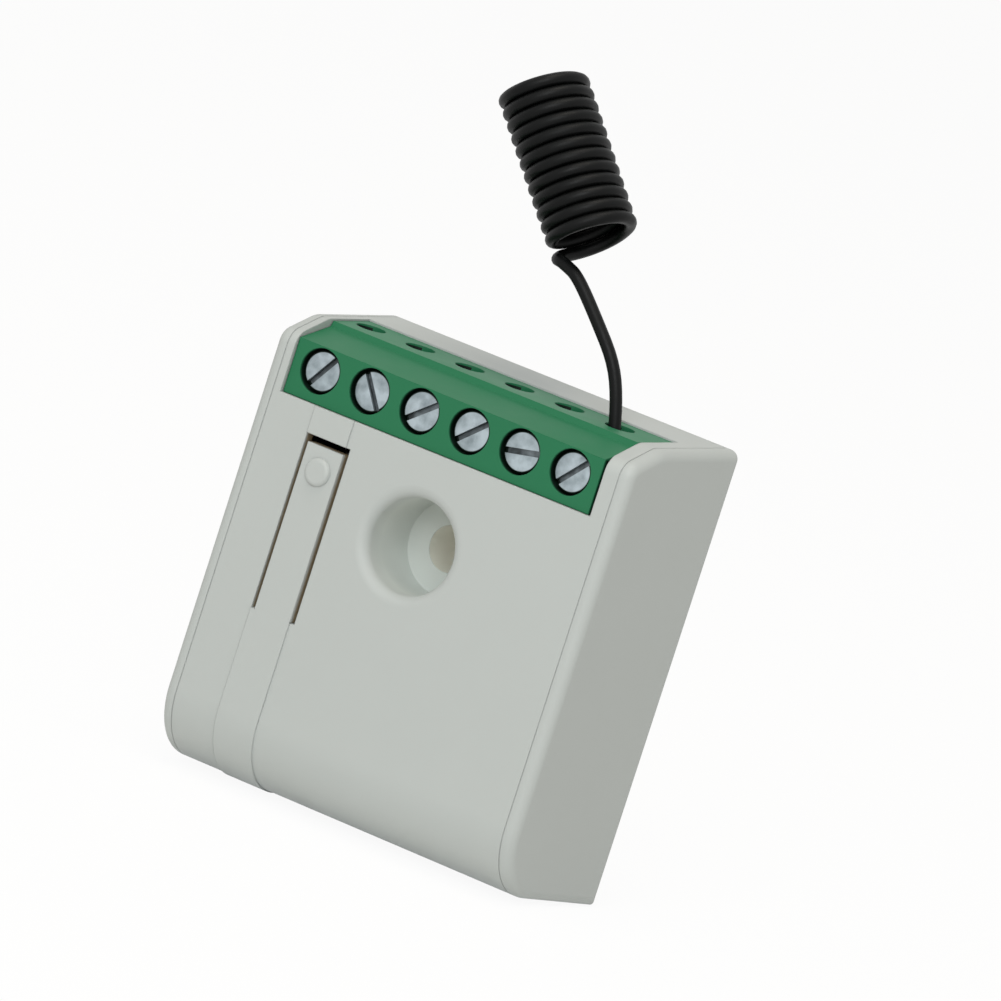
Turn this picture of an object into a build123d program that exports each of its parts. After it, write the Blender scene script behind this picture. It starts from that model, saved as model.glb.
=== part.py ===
# Relay receiver module for a wall box: a moulded case with a six-way screw terminal block along its
# top, a springy learn button cut into its front, a through hole for one fixing screw, a relay board
# inside and a coiled wire antenna.
#
# Millimetres. X to the right, Y to the back, Z up, terminals on top, front face towards -Y. The
# origin is at the middle of the footprint, at the height of the lowest edge. Depths are measured
# from the plane of the front face towards the back, heights from the lowest edge.

import os
from math import cos, pi, radians, sin, sqrt, tan

from build123d import *

os.makedirs("parts", exist_ok=True)

# Case
LEFT_SHOULDER = 2.0  # case to the left of the terminal block
RIGHT_SHOULDER = 3.0
CASE_DEPTH = 17.3
CASE_HEIGHT = 40.2  # to the sharp corner of the top and the back
WALL = 1.2  # front, top, bottom and back
SIDE_WALL = 1.15
BOTTOM_DRAFT = 2.4  # degrees, the bottom falls towards the back
TOP_DRAFT = 2.6  # degrees, the top rises towards the back
CHAMFER_DEPTH = 4.25  # front chamfer at the top, measured along the depth
CHAMFER_DROP = 1.6
BROW_RADIUS = 1.5  # where the front meets its chamfer
RIDGE_RADIUS = 3.0  # where the chamfer meets the top
FOOT_RADIUS = 6.0  # large radius between the front and the bottom
BACK_TOP_RADIUS = 0.8
SIDE_EDGE_RADIUS = 0.85
SEAM_GAP = 0.05  # between the front cover and the rear housing
LEDGE = 0.8  # inner rib on the side walls that carries the cover
FIT_GAP = 0.05  # between pieces that stand close without touching
PAST = 1.0  # how far a cut runs past the face it starts from

# Fixing screw well
WELL_X = 0.0
WELL_DROP = 15.2  # below the top
WELL_RADIUS = 4.1
WELL_DEPTH = 7.0
WELL_RIM = 1.0  # rounding of the well's mouth
WELL_WALL = 1.0
SCREW_HOLE_RADIUS = 2.0
SPIGOT_RADIUS = 3.2  # passes through the board
SHOULDER_RADIUS = 4.0  # holds the board back

# Learn button
BUTTON_INSET = 7.8  # middle of the button from the case's left side
BUTTON_DROP = 10.18  # its free end below the case's top
BUTTON_LENGTH = 14.77
BUTTON_WIDTH = 3.6
SLOT_SIDE = 0.42
SLOT_TOP = 0.65
ROOT_GAP = 0.05
BAND_RISE = 0.12  # low raised band that the button is cut from
PIP_RISE = 0.4
PIP_RADIUS = 1.2
PIP_EDGE = 0.36
PIP_BELOW = 2.12  # under the button's free end
PEG_RADIUS = 1.2
PEG_GAP = 0.05  # between the button's peg and the switch

# Terminal block
WAYS = 6
PITCH = 5.08
BLOCK_END = 0.26  # plastic past the outer half pitch at each end
BLOCK_FRONT = 0.3  # the block's face lies this far behind the front
BLOCK_DROP = 7.15  # lower edge that shows, below the case's top
BLOCK_FOOT_DROP = 8.6  # lower edge inside the case
FACE_TOP_DROP = 0.2  # the block's face ends this far under the case's chamfer
STEP_DEPTH = 4.5  # where the slope of the block ends
STEP_RISE = 0.5
STEP_RUN = 0.25
BLOCK_SINK = 0.15  # the block's top lies this far under the case's
OPENING_BEFORE_BOARD = 0.95  # rear end of the opening
OPENING_LEFT_GAP = 0.1
OPENING_RIGHT_GAP = 0.4
BLOCK_CLEARANCE = 0.1
TERMINAL_DROP = 4.45  # terminal screws below the case's top
CELL_WIDTH = 4.1
CELL_LOW_DROP = 7.7
CELL_HIGH_DROP = 2.5
CELL_FRONT = 2.2
ENTRY_DEPTH = 7.9
ENTRY_SHIFT = -0.95  # the wire entries lie to the left of their screws
ENTRY_RADIUS = 1.3

# Terminal screws and clamps
HEAD_RADIUS = 1.8
HEAD_FRONT = 0.75
HEAD_THICK = 1.1
HEAD_EDGE = 0.2
HEAD_CLEARANCE = 0.15
SHANK_RADIUS = 1.45
THREAD_CLEARANCE = 0.05
DRIVE_SLOT_WIDTH = 0.5
DRIVE_SLOT_DEPTH = 0.5
SLOT_ANGLES = (55, 125, 38, 41, 11, 47)  # degrees above horizontal, seen from the front
CAGE_WIDTH = 3.9
CAGE_SIDE = 0.35
CAGE_HEIGHT = 3.7
CAGE_FRONT_WEB = 1.2
CAGE_MOUTH = 4.2
CAGE_REAR_WEB = 0.8
CAGE_OPEN_DEPTH = 4.3  # front of a fully open cage
BAR_DEPTH = 6.35  # front face of the contact bar, where the screw's tip bears
BAR_THICK = 0.7
BAR_WIDTH = 2.9
LEG_WIDTH = 1.2

# Board, as far back as the relay is high
RELAY_FRONT_GAP = 0.25
RELAY_HEIGHT = 10.15
BOARD_THICK = 1.2
BOARD_SIDE_GAP = 0.95
BOARD_LOW_Z = 2.5
BOARD_DROP = 2.0  # upper edge below the case's top
BOARD_CORNER = 1.0
PIN_OUT = 1.2  # how far leads stand out behind the board
POST_RADIUS = 1.3
POST_PIN_RADIUS = 0.7
POST_INSET = 2.55  # from the inner side walls
POST_LOW_Z = 4.4
POST_DROP = 12.3  # upper posts below the case's top

# Antenna
WIRE = 1.1
CLAMP_SLIP = 0.02
ANTENNA_OFF = 0.85  # the wire leans this far to the left in its entry
LEAD_FOOT_ZS = (34.6, 37.9)  # upright run of the wire in its clamp
LEAD_RUN_IN = 0.71  # straight run before the coil
COIL_WIRE = 0.72  # thinner than the real insulated wire, so that the turns stand apart
COIL_PITCH = 1.138
COIL_TURNS = 12
COIL_RADIUS = 3.33  # to the middle of the wire
COIL_BASE = (2.6, 9.3, 53.3)  # x, depth, height of the centre of the lowest turn
COIL_LEAN_LEFT = 41.6  # degrees from upright
COIL_LEAN_BACK = 0.75
COIL_START = 62.6  # degrees round from the left-hand side towards the back

# Values that follow from the sizes above
CASE_WIDTH = WAYS * PITCH + 2 * BLOCK_END + LEFT_SHOULDER + RIGHT_SHOULDER
FRONT_Y = -(CASE_DEPTH - BAND_RISE - PIP_RISE) / 2
HALF_WIDTH = CASE_WIDTH / 2
INNER_HALF = HALF_WIDTH - SIDE_WALL
COVER_HALF = INNER_HALF - SEAM_GAP
BACK_WALL_DEPTH = CASE_DEPTH - WALL
RIDGE_Z = CASE_HEIGHT - (CASE_DEPTH - CHAMFER_DEPTH) * tan(radians(TOP_DRAFT))
CHAMFER_Z = RIDGE_Z - CHAMFER_DROP
WELL_Z = CASE_HEIGHT - WELL_DROP
BUTTON_X = BUTTON_INSET - HALF_WIDTH
BUTTON_TOP_Z = CASE_HEIGHT - BUTTON_DROP
BUTTON_ROOT_Z = BUTTON_TOP_Z - BUTTON_LENGTH
PIP_Z = BUTTON_TOP_Z - PIP_BELOW
RELAY_FRONT = WALL + RELAY_FRONT_GAP
BOARD_DEPTH = RELAY_FRONT + RELAY_HEIGHT
BOARD_BACK = BOARD_DEPTH + BOARD_THICK
BOARD_HALF_WIDTH = INNER_HALF - BOARD_SIDE_GAP
BOARD_HIGH_Z = CASE_HEIGHT - BOARD_DROP
POST_X = INNER_HALF - POST_INSET
POSTS = [(side * POST_X, z) for side in (-1, 1) for z in (POST_LOW_Z, CASE_HEIGHT - POST_DROP)]
BLOCK_LEFT = LEFT_SHOULDER - HALF_WIDTH
BLOCK_RIGHT = HALF_WIDTH - RIGHT_SHOULDER
BLOCK_LOW_Z = CASE_HEIGHT - BLOCK_DROP
BLOCK_FOOT_Z = CASE_HEIGHT - BLOCK_FOOT_DROP
BLOCK_BACK = BOARD_DEPTH - SEAM_GAP
OPENING_DEPTH = BOARD_DEPTH - OPENING_BEFORE_BOARD
OPENING_Z = BLOCK_LOW_Z - SEAM_GAP
TERMINAL_Z = CASE_HEIGHT - TERMINAL_DROP
CELL_LOW_Z = CASE_HEIGHT - CELL_LOW_DROP
CELL_HIGH_Z = CASE_HEIGHT - CELL_HIGH_DROP
WAY_X = [BLOCK_LEFT + BLOCK_END + (way + 0.5) * PITCH for way in range(WAYS)]
BAR_BACK = BAR_DEPTH + BAR_THICK
CAGE_LENGTH = CAGE_FRONT_WEB + CAGE_MOUTH + CAGE_REAR_WEB
# the last cage is closed on the antenna's wire, the others stand open
ANTENNA_CAGE_DEPTH = BAR_BACK + WIRE + 2 * CLAMP_SLIP - CAGE_FRONT_WEB - CAGE_MOUTH
CAGE_DEPTHS = [CAGE_OPEN_DEPTH] * (WAYS - 1) + [ANTENNA_CAGE_DEPTH]


def y_at(depth):
    """Y of a depth behind the front face."""
    return FRONT_Y + depth


def facing_front(depth):
    """Plane at a depth that faces the viewer, with x to the right and z up."""
    return Plane(origin=(0, y_at(depth), 0), x_dir=(1, 0, 0), z_dir=(0, -1, 0))


def brick(xs, depths, zs, mode=Mode.ADD):
    """Straight block between pairs of x, depth and height."""
    centre = (sum(xs) / 2, y_at(sum(depths) / 2), sum(zs) / 2)
    with Locations(centre):
        Box(xs[1] - xs[0], depths[1] - depths[0], zs[1] - zs[0], mode=mode)


def rod(x, z, radius, depths, mode=Mode.ADD):
    """Round bar along the depth."""
    with Locations(Location((x, y_at(sum(depths) / 2), z), (90, 0, 0))):
        Cylinder(radius, depths[1] - depths[0], mode=mode)


def upright(x, depth, radius, zs, mode=Mode.ADD):
    """Round bar along the height."""
    with Locations((x, y_at(depth), sum(zs) / 2)):
        Cylinder(radius, zs[1] - zs[0], mode=mode)


def save(part, name):
    """Names a finished piece and writes it to its own file."""
    part.label = name
    export_step(part, f"parts/{name}.step")


def bottom_z(depth):
    """Height of the case's underside at a depth."""
    return (CASE_DEPTH - depth) * tan(radians(BOTTOM_DRAFT))


def top_z(depth):
    """Height of the case's top behind its chamfer."""
    return CASE_HEIGHT - (CASE_DEPTH - depth) * tan(radians(TOP_DRAFT))


def case_outline(x, inset=0.0):
    """Side outline of the case at one x, drawn in from the outside by the inset."""
    with BuildSketch(Plane.YZ.offset(x)) as outline:
        with BuildLine():
            Polyline(
                (y_at(CASE_DEPTH), 0),
                (y_at(CASE_DEPTH), CASE_HEIGHT),
                (y_at(CHAMFER_DEPTH), RIDGE_Z),
                (y_at(0), CHAMFER_Z),
                (y_at(0), bottom_z(0)),
                close=True,
            )
        make_face()
        # in the outline's own plane x runs to the back and y runs up
        for depth, z, radius in (
            (0, bottom_z(0), FOOT_RADIUS),
            (0, CHAMFER_Z, BROW_RADIUS),
            (CHAMFER_DEPTH, RIDGE_Z, RIDGE_RADIUS),
            (CASE_DEPTH, CASE_HEIGHT, BACK_TOP_RADIUS),
        ):
            fillet(outline.vertices().sort_by_distance((y_at(depth), z))[0], radius)
        if inset:
            offset(amount=-inset, kind=Kind.INTERSECTION)
    return outline.sketch


# Front cover: one moulding that wraps the bottom, the front and the top, open at the back
button_left = BUTTON_X - BUTTON_WIDTH / 2
button_right = BUTTON_X + BUTTON_WIDTH / 2
window_left = button_left - SLOT_SIDE
window_right = button_right + SLOT_SIDE
window_top = BUTTON_TOP_Z + SLOT_TOP
well_floor = WELL_DEPTH + WALL

# low raised band that the button is cut from; it follows the front and wraps round the foot
with BuildPart() as band:
    extrude(case_outline(window_left, -BAND_RISE), amount=button_right - window_left)
    extrude(case_outline(window_left, WALL / 2), amount=button_right - window_left, mode=Mode.SUBTRACT)
    brick((window_left, window_right), (FOOT_RADIUS, CASE_DEPTH + PAST), (-PAST, CASE_HEIGHT + PAST),
          mode=Mode.SUBTRACT)
    brick((window_left, window_right), (-PAST, CASE_DEPTH), (OPENING_Z, CASE_HEIGHT + PAST),
          mode=Mode.SUBTRACT)

with BuildPart() as front_cover:
    extrude(case_outline(-COVER_HALF), amount=2 * COVER_HALF)
    extrude(case_outline(-COVER_HALF, WALL), amount=2 * COVER_HALF, mode=Mode.SUBTRACT)
    brick((-HALF_WIDTH, HALF_WIDTH), (BACK_WALL_DEPTH, CASE_DEPTH + PAST), (-PAST, CASE_HEIGHT + PAST),
          mode=Mode.SUBTRACT)
    add(band.part)
    # opening for the terminal block, through the front and the top
    brick((BLOCK_LEFT - OPENING_LEFT_GAP, BLOCK_RIGHT + OPENING_RIGHT_GAP), (-PAST, OPENING_DEPTH),
          (OPENING_Z, CASE_HEIGHT + PAST), mode=Mode.SUBTRACT)
    # well for the fixing screw, with a shoulder and a spigot that pass the board
    rod(WELL_X, WELL_Z, WELL_RADIUS + WELL_WALL, (WALL / 2, well_floor))
    rod(WELL_X, WELL_Z, SHOULDER_RADIUS, (well_floor, BOARD_DEPTH))
    rod(WELL_X, WELL_Z, SPIGOT_RADIUS, (BOARD_DEPTH, BACK_WALL_DEPTH - SEAM_GAP))
    rod(WELL_X, WELL_Z, WELL_RADIUS, (-PAST, WELL_DEPTH), mode=Mode.SUBTRACT)
    rod(WELL_X, WELL_Z, SCREW_HOLE_RADIUS, (0, CASE_DEPTH), mode=Mode.SUBTRACT)
    mouth = front_cover.edges().filter_by(GeomType.CIRCLE).filter_by_position(
        Axis.Y, y_at(-FIT_GAP), y_at(FIT_GAP)).sort_by(SortBy.RADIUS)[-1]
    fillet(mouth, WELL_RIM)
    # window for the button and its slots
    brick((window_left, window_right), (-PAST, WALL + PAST), (BUTTON_ROOT_Z, window_top),
          mode=Mode.SUBTRACT)
save(front_cover.part, "front_cover")

# Learn button: a springy tongue with a round pip in front and a peg behind
SWITCH_HEIGHT = 7.0
SWITCH_TIP = BOARD_DEPTH - SWITCH_HEIGHT

with BuildPart() as learn_button:
    brick((button_left, button_right), (-BAND_RISE, WALL), (BUTTON_ROOT_Z + ROOT_GAP, BUTTON_TOP_Z))
    rod(BUTTON_X, PIP_Z, PIP_RADIUS, (-BAND_RISE - PIP_RISE, 0))
    pip_edge = learn_button.edges().filter_by(GeomType.CIRCLE).sort_by(Axis.Y)[0]
    fillet(pip_edge, PIP_EDGE)
    rod(BUTTON_X, PIP_Z, PEG_RADIUS, (WALL / 2, SWITCH_TIP - PEG_GAP))
save(learn_button.part, "learn_button")

# Rear housing: back and both side walls in one moulding, with ledges for the cover and board posts
ledge_out = WALL + SEAM_GAP

with BuildPart() as rear_housing:
    extrude(case_outline(-HALF_WIDTH), amount=CASE_WIDTH)
    sides = rear_housing.faces().filter_by(Axis.X)
    fillet(sides.edges(), SIDE_EDGE_RADIUS)
    brick((-INNER_HALF, INNER_HALF), (-PAST, BACK_WALL_DEPTH), (-PAST, CASE_HEIGHT + PAST),
          mode=Mode.SUBTRACT)
    for ledge_x in (-INNER_HALF, INNER_HALF - LEDGE):
        extrude(case_outline(ledge_x, ledge_out), amount=LEDGE)
        extrude(case_outline(ledge_x, ledge_out + LEDGE), amount=LEDGE, mode=Mode.SUBTRACT)
    brick((-INNER_HALF, INNER_HALF), (BACK_WALL_DEPTH - LEDGE - SEAM_GAP, BACK_WALL_DEPTH),
          (BOARD_LOW_Z, BOARD_HIGH_Z), mode=Mode.SUBTRACT)
    for post_x, post_z in POSTS:
        rod(post_x, post_z, POST_RADIUS, (BOARD_BACK, BACK_WALL_DEPTH))
        rod(post_x, post_z, POST_PIN_RADIUS, (BOARD_DEPTH, BOARD_BACK))
    rod(WELL_X, WELL_Z, SCREW_HOLE_RADIUS, (0, CASE_DEPTH + PAST), mode=Mode.SUBTRACT)
save(rear_housing.part, "rear_housing")

# Terminal block: one green moulding with a cell, a screw hole and a wire entry for each way
face_top_z = CHAMFER_Z - FACE_TOP_DROP
block_top_z = top_z(STEP_DEPTH + STEP_RUN) - BLOCK_SINK
block_rear_top_z = top_z(OPENING_DEPTH) - BLOCK_SINK
block_tail_z = top_z(OPENING_DEPTH) - WALL - BLOCK_CLEARANCE
block_step = OPENING_DEPTH - BLOCK_CLEARANCE

with BuildPart() as terminal_body:
    with BuildSketch(Plane.YZ.offset(BLOCK_LEFT)):
        with BuildLine():
            Polyline(
                (y_at(BLOCK_FRONT), BLOCK_LOW_Z),
                (y_at(BLOCK_FRONT), face_top_z),
                (y_at(STEP_DEPTH), block_top_z - STEP_RISE),
                (y_at(STEP_DEPTH + STEP_RUN), block_top_z),
                (y_at(block_step), block_rear_top_z),
                (y_at(block_step), block_tail_z),
                (y_at(BLOCK_BACK), block_tail_z),
                (y_at(BLOCK_BACK), BLOCK_FOOT_Z),
                (y_at(WALL + BLOCK_CLEARANCE), BLOCK_FOOT_Z),
                (y_at(WALL + BLOCK_CLEARANCE), BLOCK_LOW_Z),
                close=True,
            )
        make_face()
    extrude(amount=BLOCK_RIGHT - BLOCK_LEFT)
    for x in WAY_X:
        brick((x - CELL_WIDTH / 2, x + CELL_WIDTH / 2), (CELL_FRONT, BLOCK_BACK + PAST),
              (CELL_LOW_Z, CELL_HIGH_Z), mode=Mode.SUBTRACT)
        rod(x, TERMINAL_Z, HEAD_RADIUS + HEAD_CLEARANCE, (0, CELL_FRONT), mode=Mode.SUBTRACT)
        upright(x + ENTRY_SHIFT, ENTRY_DEPTH, ENTRY_RADIUS, (CELL_HIGH_Z, CASE_HEIGHT),
                mode=Mode.SUBTRACT)
save(terminal_body.part, "terminal_body")

# Terminal screws, their clamp cages and the contact bars
head_back = HEAD_FRONT + HEAD_THICK

for way, x in enumerate(WAY_X):
    with BuildPart() as terminal_screw:
        rod(x, TERMINAL_Z, HEAD_RADIUS, (HEAD_FRONT, head_back))
        head_edge = terminal_screw.edges().filter_by(GeomType.CIRCLE).sort_by(Axis.Y)[0]
        fillet(head_edge, HEAD_EDGE)
        rod(x, TERMINAL_Z, SHANK_RADIUS, (head_back, BAR_DEPTH))
        slot_centre = (x, y_at(HEAD_FRONT), TERMINAL_Z)
        with Locations(Location(slot_centre, (0, -SLOT_ANGLES[way], 0))):
            Box(3 * HEAD_RADIUS, 2 * DRIVE_SLOT_DEPTH, DRIVE_SLOT_WIDTH, mode=Mode.SUBTRACT)
    save(terminal_screw.part, f"terminal_screw_{way + 1}")

    cage_front = CAGE_DEPTHS[way]
    cage_zs = (TERMINAL_Z - CAGE_HEIGHT / 2, TERMINAL_Z + CAGE_HEIGHT / 2)
    mouth_front = cage_front + CAGE_FRONT_WEB
    with BuildPart() as clamp_cage:
        brick((x - CAGE_WIDTH / 2, x + CAGE_WIDTH / 2), (cage_front, cage_front + CAGE_LENGTH), cage_zs)
        fillet(clamp_cage.edges().filter_by(Axis.Z), CAGE_SIDE)
        brick((x - CAGE_WIDTH / 2 + CAGE_SIDE, x + CAGE_WIDTH / 2 - CAGE_SIDE),
              (mouth_front, mouth_front + CAGE_MOUTH), cage_zs, mode=Mode.SUBTRACT)
        rod(x, TERMINAL_Z, SHANK_RADIUS + THREAD_CLEARANCE, (cage_front - PAST, mouth_front + FIT_GAP),
            mode=Mode.SUBTRACT)
    save(clamp_cage.part, f"clamp_cage_{way + 1}")

with BuildPart() as contact_bars:
    for x in WAY_X:
        brick((x - BAR_WIDTH / 2, x + BAR_WIDTH / 2), (BAR_DEPTH, BAR_BACK), (CELL_LOW_Z, CELL_HIGH_Z))
        brick((x - LEG_WIDTH / 2, x + LEG_WIDTH / 2), (BAR_BACK, BOARD_BACK + PIN_OUT),
              (CELL_LOW_Z, CELL_LOW_Z + BAR_THICK))
save(contact_bars.part, "contact_bars")

# Relay: a flat power relay with its moving armature, under a plastic cover
RELAY_WIDTH = 8.6
RELAY_LENGTH = 16.0
RELAY_FOOT_DIP = 1.1  # how far the relay reaches down into the case's rounded foot
RELAY_SHELL = 0.5
RELAY_CORNER = 0.45
RELAY_BASE = 1.1
BOBBIN_FLANGE = 5.2
BOBBIN_FLANGE_THICK = 0.8
BOBBIN_TUBE_RADIUS = 1.6
BOBBIN_FOOT = 3.0  # height of the bobbin above the relay's lower end
BOBBIN_HEADROOM = 6.2  # from the bobbin to the relay's upper end
BOBBIN_BEFORE_BASE = 4.0  # bobbin's axis in front of the base
WINDING_RADIUS = 2.4
CORE_RADIUS = 1.1
POLE_RADIUS = 2.0
POLE_THICK = 0.6
IRON_THICK = 0.9
IRON_WIDTH = 6.0
YOKE_IN = 0.75  # yoke behind the relay's front
YOKE_GAP = 0.9  # between the bobbin and the yoke's foot
ARMATURE_GAP = 0.6  # air gap of the released armature
ARMATURE_BEFORE_BASE = 2.1
HEEL_RADIUS = 0.4
BLADE_WIDTH = 3.4
BLADE_THICK = 0.3
BLADE_LIFT = 0.4  # of the lower fixed blade above the bobbin
SPRING_THICK = 0.2
SPRING_IN = 1.75  # spring behind the relay's front
SPRING_BEFORE_BASE = 0.3
RIVET_RADIUS = 0.8
RIVET_HEIGHT = 0.45  # of the fixed contacts, off their blades
RIVET_TAIL = 0.3  # of the moving contact, past its spring
RIVET_BEFORE_BASE = 0.3
CONTACT_GAP = 0.6
RIVET_TOUCH = 0.05

RELAY_X = INNER_HALF - LEDGE - FIT_GAP - RELAY_WIDTH / 2
RELAY_LOW_Z = bottom_z(0) + FOOT_RADIUS - RELAY_FOOT_DIP
relay_left = RELAY_X - RELAY_WIDTH / 2
relay_right = RELAY_X + RELAY_WIDTH / 2
relay_high_z = RELAY_LOW_Z + RELAY_LENGTH
bobbin_low_z = RELAY_LOW_Z + BOBBIN_FOOT
bobbin_high_z = relay_high_z - BOBBIN_HEADROOM
yoke_low_z = bobbin_low_z - YOKE_GAP - IRON_THICK
relay_base_front = BOARD_DEPTH - RELAY_BASE
inner = RELAY_SHELL + FIT_GAP
yoke_front = RELAY_FRONT + YOKE_IN
yoke_back = yoke_front + IRON_THICK
bobbin_depth = relay_base_front - BOBBIN_BEFORE_BASE
armature_back = relay_base_front - ARMATURE_BEFORE_BASE
rivet_depth = relay_base_front - RIVET_BEFORE_BASE - RIVET_RADIUS
pole_top_z = bobbin_high_z + POLE_THICK
armature_z = pole_top_z + ARMATURE_GAP
spring_z = armature_z + IRON_THICK
iron_xs = (RELAY_X - IRON_WIDTH / 2, RELAY_X + IRON_WIDTH / 2)
blade_xs = (RELAY_X - BLADE_WIDTH / 2, RELAY_X + BLADE_WIDTH / 2)
pin_back = BOARD_BACK + PIN_OUT
open_blade_z = bobbin_high_z + BLADE_LIFT
open_rivet_top_z = open_blade_z + BLADE_THICK + RIVET_HEIGHT
moving_low_z = open_rivet_top_z + CONTACT_GAP + RIVET_TOUCH
moving_high_z = spring_z + SPRING_THICK + RIVET_TAIL
closed_rivet_z = moving_high_z + RIVET_TOUCH
closed_blade_z = closed_rivet_z + RIVET_HEIGHT

with BuildPart() as relay_cover:
    brick((relay_left, relay_right), (RELAY_FRONT, BOARD_DEPTH - FIT_GAP), (RELAY_LOW_Z, relay_high_z))
    fillet(relay_cover.edges().filter_by(Axis.Y), RELAY_CORNER)
    brick((relay_left + RELAY_SHELL, relay_right - RELAY_SHELL), (RELAY_FRONT + RELAY_SHELL, BOARD_DEPTH),
          (RELAY_LOW_Z + RELAY_SHELL, relay_high_z - RELAY_SHELL), mode=Mode.SUBTRACT)
save(relay_cover.part, "relay_cover")

with BuildPart() as relay_base:
    brick((relay_left + inner, relay_right - inner), (relay_base_front, BOARD_DEPTH),
          (RELAY_LOW_Z + inner, relay_high_z - inner))
    for blade_z in (open_blade_z, closed_blade_z):
        brick((RELAY_X - BLADE_WIDTH / 2 - FIT_GAP, RELAY_X + BLADE_WIDTH / 2 + FIT_GAP),
              (relay_base_front - PAST, BOARD_DEPTH + PAST),
              (blade_z - FIT_GAP, blade_z + BLADE_THICK + FIT_GAP), mode=Mode.SUBTRACT)
save(relay_base.part, "relay_base")

half_flange = BOBBIN_FLANGE / 2
with BuildPart() as relay_bobbin:
    upright(RELAY_X, bobbin_depth, BOBBIN_TUBE_RADIUS, (bobbin_low_z, bobbin_high_z))
    for flange_z in (bobbin_low_z, bobbin_high_z - BOBBIN_FLANGE_THICK):
        brick((RELAY_X - half_flange, RELAY_X + half_flange),
              (bobbin_depth - half_flange, relay_base_front),
              (flange_z, flange_z + BOBBIN_FLANGE_THICK))
    upright(RELAY_X, bobbin_depth, CORE_RADIUS, (bobbin_low_z, bobbin_high_z), mode=Mode.SUBTRACT)
save(relay_bobbin.part, "relay_bobbin")

winding_zs = (bobbin_low_z + BOBBIN_FLANGE_THICK, bobbin_high_z - BOBBIN_FLANGE_THICK)
with BuildPart() as relay_winding:
    upright(RELAY_X, bobbin_depth, WINDING_RADIUS, winding_zs)
    upright(RELAY_X, bobbin_depth, BOBBIN_TUBE_RADIUS, winding_zs, mode=Mode.SUBTRACT)
save(relay_winding.part, "relay_winding")

with BuildPart() as relay_core:
    upright(RELAY_X, bobbin_depth, CORE_RADIUS, (yoke_low_z, bobbin_high_z))
    upright(RELAY_X, bobbin_depth, POLE_RADIUS, (bobbin_high_z, pole_top_z))
save(relay_core.part, "relay_core")

yoke_top_z = armature_z - RIVET_TOUCH
with BuildPart() as relay_yoke:
    brick(iron_xs, (yoke_front, yoke_back), (yoke_low_z, yoke_top_z))
    brick(iron_xs, (yoke_front, bobbin_depth + POLE_RADIUS), (yoke_low_z, yoke_low_z + IRON_THICK))
    upright(RELAY_X, bobbin_depth, CORE_RADIUS, (yoke_low_z - PAST, bobbin_low_z), mode=Mode.SUBTRACT)
save(relay_yoke.part, "relay_yoke")

with BuildPart() as relay_armature:
    brick(iron_xs, (yoke_front, armature_back), (armature_z, spring_z))
    # rounded heel on which the armature rocks
    fillet(relay_armature.edges().filter_by(Axis.X).group_by(Axis.Z)[0].sort_by(Axis.Y)[0], HEEL_RADIUS)
save(relay_armature.part, "relay_armature")

with BuildPart() as relay_spring:
    brick(blade_xs, (RELAY_FRONT + SPRING_IN, relay_base_front - SPRING_BEFORE_BASE),
          (spring_z, spring_z + SPRING_THICK))
    upright(RELAY_X, rivet_depth, RIVET_RADIUS, (moving_low_z, moving_high_z))
save(relay_spring.part, "relay_spring")

with BuildPart() as relay_contacts:
    for blade_z, rivet_zs in (
        (open_blade_z, (open_blade_z, open_rivet_top_z)),
        (closed_blade_z, (closed_rivet_z, closed_blade_z)),
    ):
        brick(blade_xs, (rivet_depth - RIVET_RADIUS, BOARD_DEPTH), (blade_z, blade_z + BLADE_THICK))
        brick((RELAY_X - LEG_WIDTH / 2, RELAY_X + LEG_WIDTH / 2), (BOARD_DEPTH, pin_back),
              (blade_z, blade_z + BLADE_THICK))
        upright(RELAY_X, rivet_depth, RIVET_RADIUS, rivet_zs)
save(relay_contacts.part, "relay_contacts")

# Push switch behind the learn button
SWITCH_SIZE = 6.0
SWITCH_BODY = 3.4
SWITCH_PLATE = 0.3
SWITCH_WELL_RADIUS = 2.2
SWITCH_WELL_DEPTH = 2.2
PLUNGER_RADIUS = 1.7
PLUNGER_FLANGE_RADIUS = 2.1
PLUNGER_FLANGE = 0.65
PLUNGER_CLEARANCE = 0.08
DOME_THICK = 0.25
SWITCH_LEG_RADIUS = 0.35
SWITCH_LEG_X = 2.4  # from the middle of the switch
SWITCH_LEG_Z = 2.25

switch_front = BOARD_DEPTH - SWITCH_BODY
plate_back = switch_front + SWITCH_PLATE
switch_xs = (BUTTON_X - SWITCH_SIZE / 2, BUTTON_X + SWITCH_SIZE / 2)
switch_zs = (PIP_Z - SWITCH_SIZE / 2, PIP_Z + SWITCH_SIZE / 2)
switch_legs = [(BUTTON_X + side * SWITCH_LEG_X, PIP_Z + end * SWITCH_LEG_Z)
               for side in (-1, 1) for end in (-1, 1)]
well_back = plate_back + SWITCH_WELL_DEPTH
flange_front = plate_back + FIT_GAP

with BuildPart() as switch_body:
    brick(switch_xs, (plate_back, BOARD_DEPTH), switch_zs)
    rod(BUTTON_X, PIP_Z, SWITCH_WELL_RADIUS, (plate_back - PAST, well_back), mode=Mode.SUBTRACT)
    for leg_x, leg_z in switch_legs:
        rod(leg_x, leg_z, SWITCH_LEG_RADIUS, (BOARD_DEPTH, pin_back))
save(switch_body.part, "switch_body")

with BuildPart() as switch_plate:
    brick(switch_xs, (switch_front, plate_back), switch_zs)
    rod(BUTTON_X, PIP_Z, PLUNGER_RADIUS + PLUNGER_CLEARANCE, (switch_front - PAST, BOARD_DEPTH),
        mode=Mode.SUBTRACT)
save(switch_plate.part, "switch_plate")

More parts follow.
